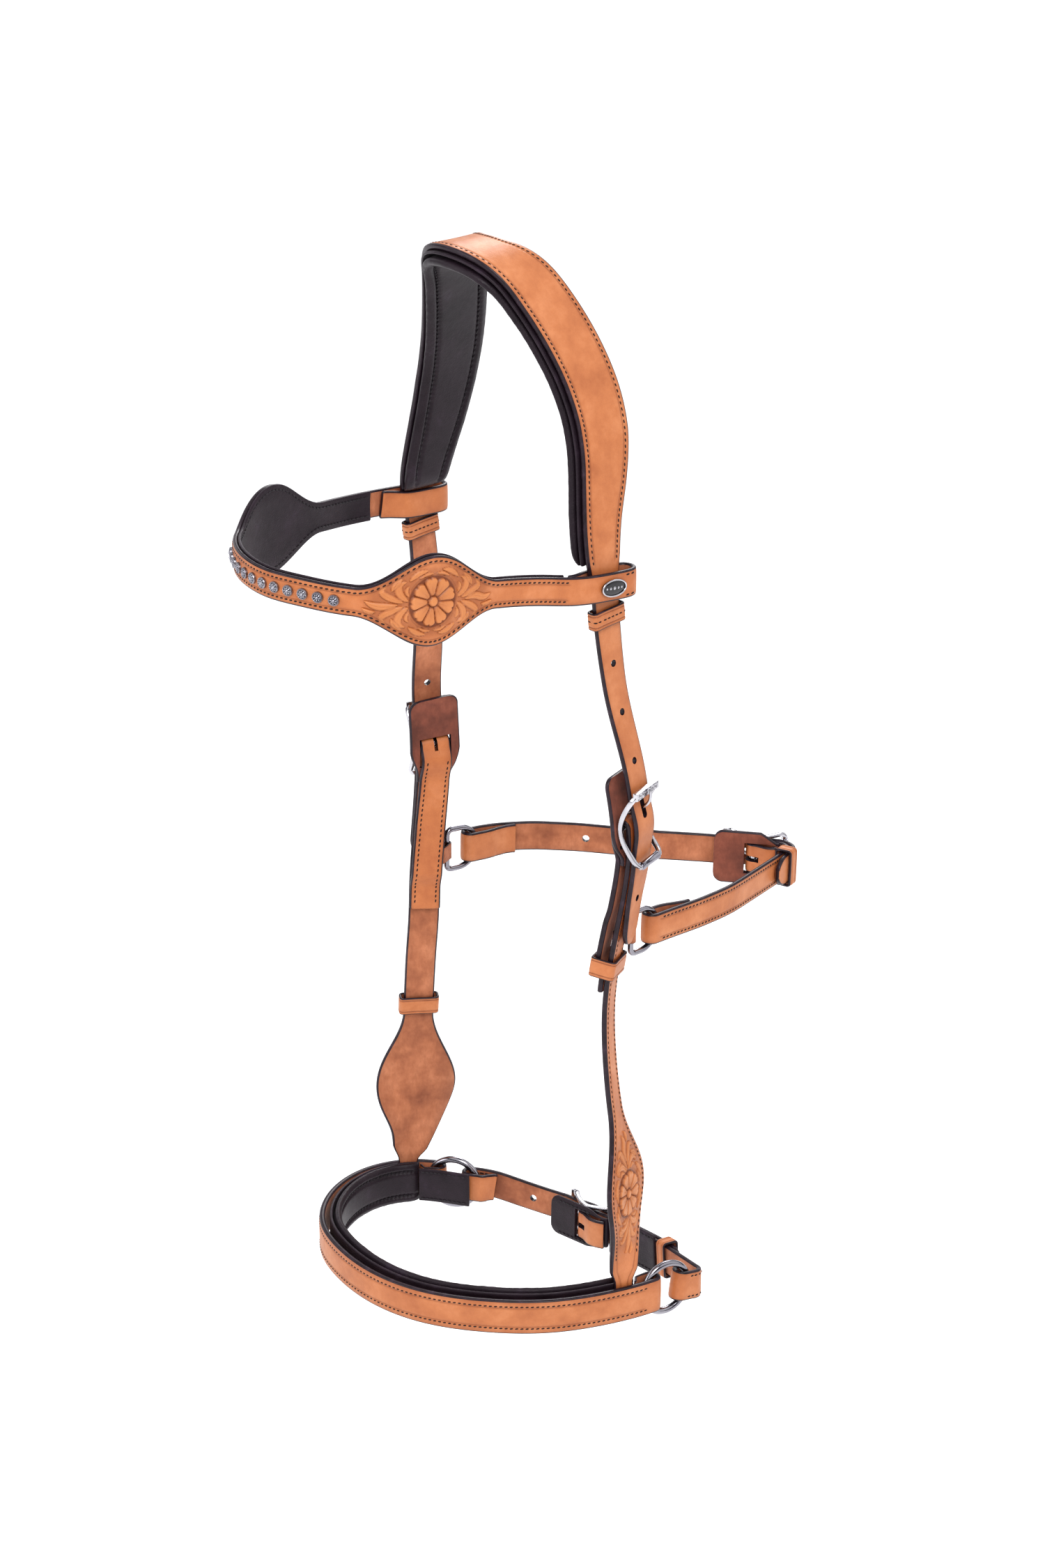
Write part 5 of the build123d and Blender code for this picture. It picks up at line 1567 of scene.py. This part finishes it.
def make_studs():
    turns = circle(48)
    parts, deep = [], []
    for k in range(STUDS):
        pos = sum(LOBES) / 2 + (k - (STUDS - 1) / 2) * STUD_STEP
        centre, along, normal, across = BROW.at(pos)

        def spot(radius, turn, out):
            ray = math.cos(turn) * along + math.sin(turn) * across
            return centre + STUD_SCALE * radius * ray + out * normal

        verts = [spot(0, 0, STUD_BASE + stud_height(0, 0)[0])]
        deep.append(0.0)
        for radius in STUD_RADII:
            for turn in turns:
                height, hollow = stud_height(radius, turn)
                verts.append(spot(radius, turn, STUD_BASE + height))
                deep.append(hollow)
        verts += [spot(STUD_RADII[-1], turn, STUD_BASE - 0.02) for turn in turns]
        # painted shade under the rim
        deep += [0.4] * len(turns)
        verts = np.array(verts)
        faces = dome_faces(len(STUD_RADII) + 1, len(turns))
        parts.append((verts, outward(verts, faces)))
    piece = mesh_object("browband_studs", join(parts), [DARK_NICKEL], smooth=38)
    vertex_value(piece.data, "deep", deep)
    stand_for(piece, "browband_conchos")


def make_ornament():
    """Oval ornament: a metal rim round black enamel with a plain row of beads."""
    centre, along, normal, across = BROW.at(BROW.near((75.3, -9.0, 125.8)))
    turns = circle(64)

    def oval(half_long, half_wide, out):
        return [centre + half_long * math.cos(turn) * along
                + half_wide * math.sin(turn) * across + out * normal for turn in turns]

    parts = [tube(oval(7.3, 3.95, 2.5), 0.42, normal=normal, closed=True, sides=14)]
    tilts = np.linspace(-1.45, 1.45, 7)
    for x, radius in ((-4.6, 0.55), (-2.4, 0.75), (0.0, 0.95), (2.4, 0.75), (4.6, 0.55)):
        ball = [centre + x * along + (2.45 + radius * 0.55 * math.sin(tilt)) * normal
                for tilt in tilts]
        parts.append(tube(ball, radius * np.cos(tilts) + 0.02, normal=along, sides=16))
    ride_with(mesh_object("ornament_rim", join(parts), [NICKEL], smooth=60), "browband_badge")

    rings = np.linspace(0, 1, 8)[1:]
    verts = [centre + 2.75 * normal]
    for part in rings:
        out = 1.95 + 0.8 * math.sqrt(1 - 0.98 * part * part)
        verts += oval(7.2 * part, 3.85 * part, out)
    verts = np.array(verts + oval(7.2, 3.85, 1.35))
    shape = verts, outward(verts, dome_faces(len(rings) + 1, len(turns)))
    stand_for(mesh_object("ornament_face", shape, [ENAMEL], smooth=60), "browband_badge")


make_studs()
make_ornament()

# ------------------------------------------------------------------ jowl strap and dees
JOWL_FOLD = DEE_WIRE + 0.95 + SMALL_THICK / 2
DEE_REACH = 7.2                     # from the fold centre to the centre of the dee's arc
SMALL_SEAM = 5.7                    # stitch rows from the middle of the jowl and chin straps
JOWL = edge_path(fillets(
    [(4.0, 112.9, -65.3), (43.2, 147.1, -66.3), (50.5, 126.0, -65.6), (66.5, 80.0, -63.0),
     (71.2, 55.0, -61.2), (73.0, 36.0, -60.0), (73.9, 23.6, -59.6)],
    [6.5, 200, 140, 140, 200]))
JOWL_FAR = edge_path(fillets(
    [(-73.9, 23.6, -62.5), (-72.0, 38.0, -62.8), (-60.0, 58.0, -63.2), (-44.0, 75.0, -63.8),
     (-22.0, 93.0, -64.4), (-4.0, 107.5, -65.0)], [60, 60, 90, 200]))
JOWL_BAR = JOWL.near((27.5, 133.4, -65.9))
JOWL_BEND, JOWL_FAR_BEND = JOWL.length - 0.3, 0.3


def dee(line, bend, end, name):
    """The dee held in a strap's fold; returns the middle of its straight bar."""
    centre, along, normal, _ = line.at(bend)
    inward = -end * along
    arc = centre - JOWL_FOLD * normal - DEE_REACH * inward
    upward = unit(np.array([0, 0, 1.0]) - inward[2] * inward)
    # centre x, centre y, radius, first angle, last angle, points
    leg, top = DEE_CORNER - DEE_LEG, DEE_RADIUS - DEE_CORNER
    arcs = [(0, 0, DEE_RADIUS, -math.pi / 2, math.pi / 2, 41),
            (leg, top, DEE_CORNER, math.pi / 2, math.pi, 11),
            (leg, -top, DEE_CORNER, math.pi, math.pi * 1.5, 11)]
    points = [arc + (x + radius * math.cos(turn)) * inward
              + (y + radius * math.sin(turn)) * upward
              for x, y, radius, first, last, count in arcs
              for turn in np.linspace(first, last, count)]
    shape = tube(subdivide(points + points[:1], 1.2), DEE_WIRE,
                 normal=np.cross(inward, upward), closed=True, sides=22)
    stand_for(mesh_object(name + "_metal", shape, [RING_METAL], smooth=80), name)
    return arc - DEE_LEG * inward


def over_bar(bar):
    """How far out a billet lies, with a rise over the buckle bar."""
    return lambda pos: BILLET_OUT + 1.6 * bell(pos - bar, 14)


def billet(name, node, path, slot_pos, holes, rows):
    cuts = [punch(path, slot_pos, PUNCH_RADIUS, slot=11.0)]
    cuts += [punch(path, path.near(hole)) for hole in holes]
    leather(name, node, TAN_SET, path, 0, path.length,
            lambda pos: tip_round(STRAP_HALF, pos, path.length), -SMALL_BILLET_THICK / 2,
            SMALL_BILLET_THICK / 2, step=1.5, inset=2.3, cuts=cuts,
            fine=[(path.length - 9.5, path.length - 0.5, 0.4)])
    stitching(name + "_stitches", node, THREAD, rows)


def make_jowl_near():
    fold, bar = chape(JOWL, JOWL_BAR, JOWL_BAR + 15.6)
    path = folded(fold, run(JOWL, JOWL_BAR, JOWL_BEND),
                  backward(turn_back(JOWL, JOWL_BEND, JOWL_FOLD, JOWL_BEND - 26,
                                     -SMALL_THICK - 0.3, 1)))
    start = min(path.near(JOWL.point(pos)) for pos in (JOWL_BEND - 27, JOWL_BAR + 4))
    end = max(path.near(JOWL.point(pos)) for pos in (JOWL_BEND - 1.5, JOWL_BAR + 20))
    leather("jowl_near_leather", "jowl_buckle_strap", TAN_SET, path, 0, path.length,
            STRAP_HALF, -SMALL_THICK / 2, SMALL_THICK / 2, step=1.5, inset=2.3,
            groove=between((start - 1, start), (end, end + 1)), slot=slot_span(path, bar))
    stitching("jowl_near_stitches", "jowl_buckle_strap", THREAD,
              [(path, start, end, SMALL_SEAM, SMALL_THICK / 2 - 0.07)])
    buckle(JOWL, JOWL_BAR, "jowl", SMALL_REACH)
    guard(JOWL, JOWL_BAR, "jowl", top=20.5, low=15.5, half=14.6)


def make_jowl_far():
    tip = JOWL_BAR + 41
    rise = over_bar(JOWL_BAR)

    def out(pos):
        return rise(pos) + 0.8 * ease(pos, tip - 16, tip)

    path = folded(turn_back(JOWL_FAR, JOWL_FAR_BEND, JOWL_FOLD, JOWL_FAR_BEND + 27,
                            -SMALL_THICK - 0.3, -1),
                  run(JOWL_FAR, JOWL_FAR_BEND, JOWL_FAR.length - 9), run(JOWL, 3.0, tip, out))
    slot_pos = path.near(JOWL.point(JOWL_BAR - 8.6, 0, out(JOWL_BAR - 8.6)))
    start = path.near(JOWL_FAR.point(JOWL_FAR_BEND + 2))
    billet("jowl_far_leather", "jowl_billet_strap", path, slot_pos,
           holes=[(-41.0, 78.0, -64.0), (-22.0, 93.5, -64.0)],
           rows=[(path, start, start + 25, SMALL_SEAM, SMALL_BILLET_THICK / 2 - 0.05)])
    keeper("jowl_keeper", JOWL, JOWL_BAR + 27.5, half_wide=8.7, low=-1.9, high=5.0, tall=7.0,
           thick=1.4)


def dee_tab(side, bar, name):
    """A thin tab round the dee's bar, its two ends let in between the cheek's layers."""
    if side.mirror:
        bar = bar * MIRROR
    line = side.line

    def spot(across, out):
        x, y, _ = line.point(z_pos(line, bar[2]), across, out)
        return np.array([x, y, bar[2]])

    low, high = -3.25, -2.35
    mouth = (spot(8.9, low) + spot(8.9, high)) / 2
    away = unit(bar - mouth)
    level = np.array([-away[1], away[0], 0.0])
    arc = [bar + (DEE_WIRE + 0.25 + 0.4) * (math.cos(turn) * away + math.sin(turn) * level)
           for turn in np.linspace(-2.2, 2.2, 19)]
    first, last = sorted((low, high), key=lambda out: np.linalg.norm(arc[0] - spot(8.9, out)))
    points = [spot(2.0, first), spot(8.9, first), *arc, spot(8.9, last), spot(2.0, last)]
    path = edge_path(np.array(subdivide(points, 0.35, least=2) + points[-1:]))
    leather(name + "_leather", name, TAN_SET, path, 0, path.length, 4.5, -0.37, 0.37,
            mirror=side.mirror, step=1.0, across=3, inset=1.3, crown=0.0, cap=0.2)


near_bar = dee(JOWL, JOWL_BEND, 1, "near_jowl_dee")
far_bar = dee(JOWL_FAR, JOWL_FAR_BEND, -1, "far_jowl_dee")
make_jowl_near()
make_jowl_far()
dee_tab(NEAR, near_bar, "near_dee_tab")
dee_tab(FAR, far_bar, "far_dee_tab")

# ------------------------------------------------------------------ chin strap
CHIN_FOLD = RING_WIRE + 0.75 + SMALL_THICK / 2
CHIN_REACH = 9.0                    # from a rein ring's centre to the fold centre
near_end = near_centre + CHIN_REACH * -near_along + CHIN_FOLD * near_normal
far_end = far_centre + CHIN_REACH * far_along + CHIN_FOLD * far_normal
CHIN = edge_path(fillets(
    [(-17.5, 39.6, -259.0), (20.0, 46.2, -260.0), (52.0, 48.5, -260.0),
     (near_end[0] + 0.3, 40.2, -255.4), (near_end[0], near_end[1], -253.4)], [200, 90, 6.0]))
CHIN_FAR = edge_path(fillets(
    [far_end, far_end + 12.0 * far_along + np.array([0, 0, -0.3]), (-36.0, 34.2, -257.5),
     (-15.5, 42.4, -259.0)], [60, 90]))
CHIN_BAR = CHIN.near((3.5, 43.5, -259.6))
CHIN_BEND, CHIN_FAR_BEND = CHIN.length - 0.3, 0.3


def make_chin_near():
    fold, bar = chape(CHIN, CHIN_BAR, CHIN_BAR + 15.6)
    path = folded(fold, run(CHIN, CHIN_BAR, CHIN_BEND),
                  backward(turn_back(CHIN, CHIN_BEND, CHIN_FOLD, CHIN_BEND - 4.0,
                                     -2 * CHIN_FOLD, 1)))
    leather("chin_near_leather", "chin_buckle_strap", TAN_SET, path, 0, path.length,
            STRAP_HALF, -SMALL_THICK / 2, SMALL_THICK / 2, step=1.5, inset=2.3,
            slot=slot_span(path, bar))
    spans = [(CHIN_BAR + 4, CHIN_BAR + 20), (CHIN_BEND - 12, CHIN_BEND - 2)]
    stitching("chin_near_stitches", "chin_buckle_strap", THREAD,
              [(path, path.near(CHIN.point(start)), path.near(CHIN.point(end)), SMALL_SEAM,
                SMALL_THICK / 2 - 0.05) for start, end in spans])
    buckle(CHIN, CHIN_BAR, "chin", SMALL_REACH)
    guard(CHIN, CHIN_BAR, "chin", top=21.0, low=15.5, half=11.4, mats=BLACK_SET, groove=1.0)
    leather("chin_pad_leather", "chin_pad", BLACK_SET, CHIN, CHIN_BAR + 16.2,
            CHIN_BAR + 50.2, 11.4, -3.1, -1.65, step=1.4, across=5, inset=1.9, groove=1.0,
            crown=0.0)
    stitching("chin_pad_stitches", "chin_pad", BLACK_THREAD,
              [(CHIN, CHIN_BAR + 17.5, CHIN_BAR + 49, 9.4, -3.15)], pitch=2.7, scale=0.9)
    stitching("chin_guard_stitches", "chin_buckle_guard", BLACK_THREAD,
              [(CHIN, CHIN_BAR - 16, CHIN_BAR + 5, 9.4,
                lambda pos: guard_out(pos - CHIN_BAR) - 1.15)], pitch=2.7, scale=0.9)


def make_chin_far():
    out = over_bar(CHIN_BAR)
    path = folded(turn_back(CHIN_FAR, CHIN_FAR_BEND, CHIN_FOLD, 14.0, -SMALL_THICK - 0.6, -1),
                  run(CHIN_FAR, CHIN_FAR_BEND, CHIN_FAR.length - 9),
                  run(CHIN, 3.0, CHIN_BAR + 66, out))
    slot_pos = path.near(CHIN.point(CHIN_BAR - 8.6, 0, out(CHIN_BAR - 8.6)))
    start, end = (path.near(CHIN_FAR.point(pos)) for pos in (2.0, 13.0))
    face = SMALL_BILLET_THICK / 2 - 0.05
    billet("chin_far_leather", "chin_billet_strap", path, slot_pos,
           holes=[(-33.0, 36.0, -258.0), (30.0, 51.0, -258.0)],
           rows=[(path, start, end, SMALL_SEAM, level) for level in (face, -face)])
    keeper("chin_keeper", CHIN, CHIN_BAR + 56.0, half_wide=8.7, low=-1.9, high=4.8, tall=7.0,
           thick=1.4)


make_chin_near()
make_chin_far()


# ------------------------------------------------------------------ floor, light and camera
def make_floor():
    z = CAD_BOX[0][2] - 0.32
    mesh = bpy.data.meshes.new("floor")
    mesh.from_pydata([(-30, -30, z), (30, -30, z), (30, 30, z), (-30, 30, z)], [],
                     [(0, 1, 2, 3)])
    floor = add_object("floor", mesh)
    mat = Material("pale_floor")
    colour = mat.ramp(mat.noise(scale=2, detail=3),
                      [(0.3, (0.86, 0.86, 0.87, 1)), (0.7, (0.9, 0.9, 0.9, 1))])
    mesh.materials.append(mat.finish(Base_Color=colour, Roughness=0.9,
                                     Specular_IOR_Level=0.1))
    floor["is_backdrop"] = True


def make_world():
    """Plain white to the camera; glossy rays see soft dark panels, so that metal reads as metal."""
    world = bpy.data.worlds.new("studio")
    bpy.context.scene.world = world
    world.use_nodes = True
    sky = Nodes(world.node_tree)
    where = sky.add("ShaderNodeTexCoord").outputs["Generated"]
    height = sky.add("ShaderNodeSeparateXYZ", {0: where}).outputs[2]
    # position from bottom to top, brightness
    levels = ((0.0, 0.80), (0.46, 0.62), (0.56, 1.0), (0.8, 1.15))
    room = sky.ramp(sky.scaled(height, by=0.5, plus=0.5),
                    [(position, (grey, grey, grey * 1.01, 1)) for position, grey in levels])
    bands = sky.add("ShaderNodeTexWave",
                    {"Scale": 0.55, "Distortion": 2.0, "Detail": 0.0, "Vector": where},
                    wave_type="BANDS", bands_direction="DIAGONAL")
    panels = sky.ramp(bands.outputs["Fac"], [(0.16, (0.05, 0.05, 0.07, 1)),
                                             (0.38, WHITE_COLOUR)])
    rays = sky.add("ShaderNodeLightPath").outputs
    seen = sky.mix(rays["Is Glossy Ray"], room, panels, blend="MULTIPLY")
    seen = sky.mix(rays["Is Camera Ray"], seen, WHITE_COLOUR)
    background = sky.tree.nodes["Background"]
    sky.feed(background.inputs["Color"], seen)
    sky.feed(background.inputs["Strength"], 0.95)


def aim(thing, place_at, target):
    thing.location = place_at
    way = Vector(target) - Vector(place_at)
    thing.rotation_euler = way.to_track_quat("-Z", "Y").to_euler()


def area(name, place_at, size, watts):
    light = bpy.data.lights.new(name, "AREA")
    light.energy, light.size, light.shape = watts, size, "RECTANGLE"
    light.size_y = size
    aim(add_object(name, light), place_at, target=(0.0, 0.03, -0.27))


def make_camera():
    data = bpy.data.cameras.new("camera")
    data.sensor_fit, data.sensor_width = "AUTO", 36.0
    data.lens = 88.16
    data.clip_end = 100
    camera = add_object("camera", data)
    aim(camera, (1.3447, -1.0968, 0.4591), target=place((0, 0, 0)))
    bpy.context.scene.camera = camera


make_floor()
make_world()
bpy.context.scene.view_settings.view_transform = "Standard"
bpy.context.scene.view_settings.look = "Medium High Contrast"
area("key", (1.2, -0.6, 1.1), size=0.8, watts=15)
area("front", (-0.5, -1.5, 0.4), size=0.9, watts=5)
area("rim", (-0.9, 1.1, 0.7), size=0.7, watts=8)
make_camera()

boxes = {"cad": CAD_BOX, "visual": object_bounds()}
({name: [[float(x) for x in corner] for corner in box]
           for name, box in boxes.items()})
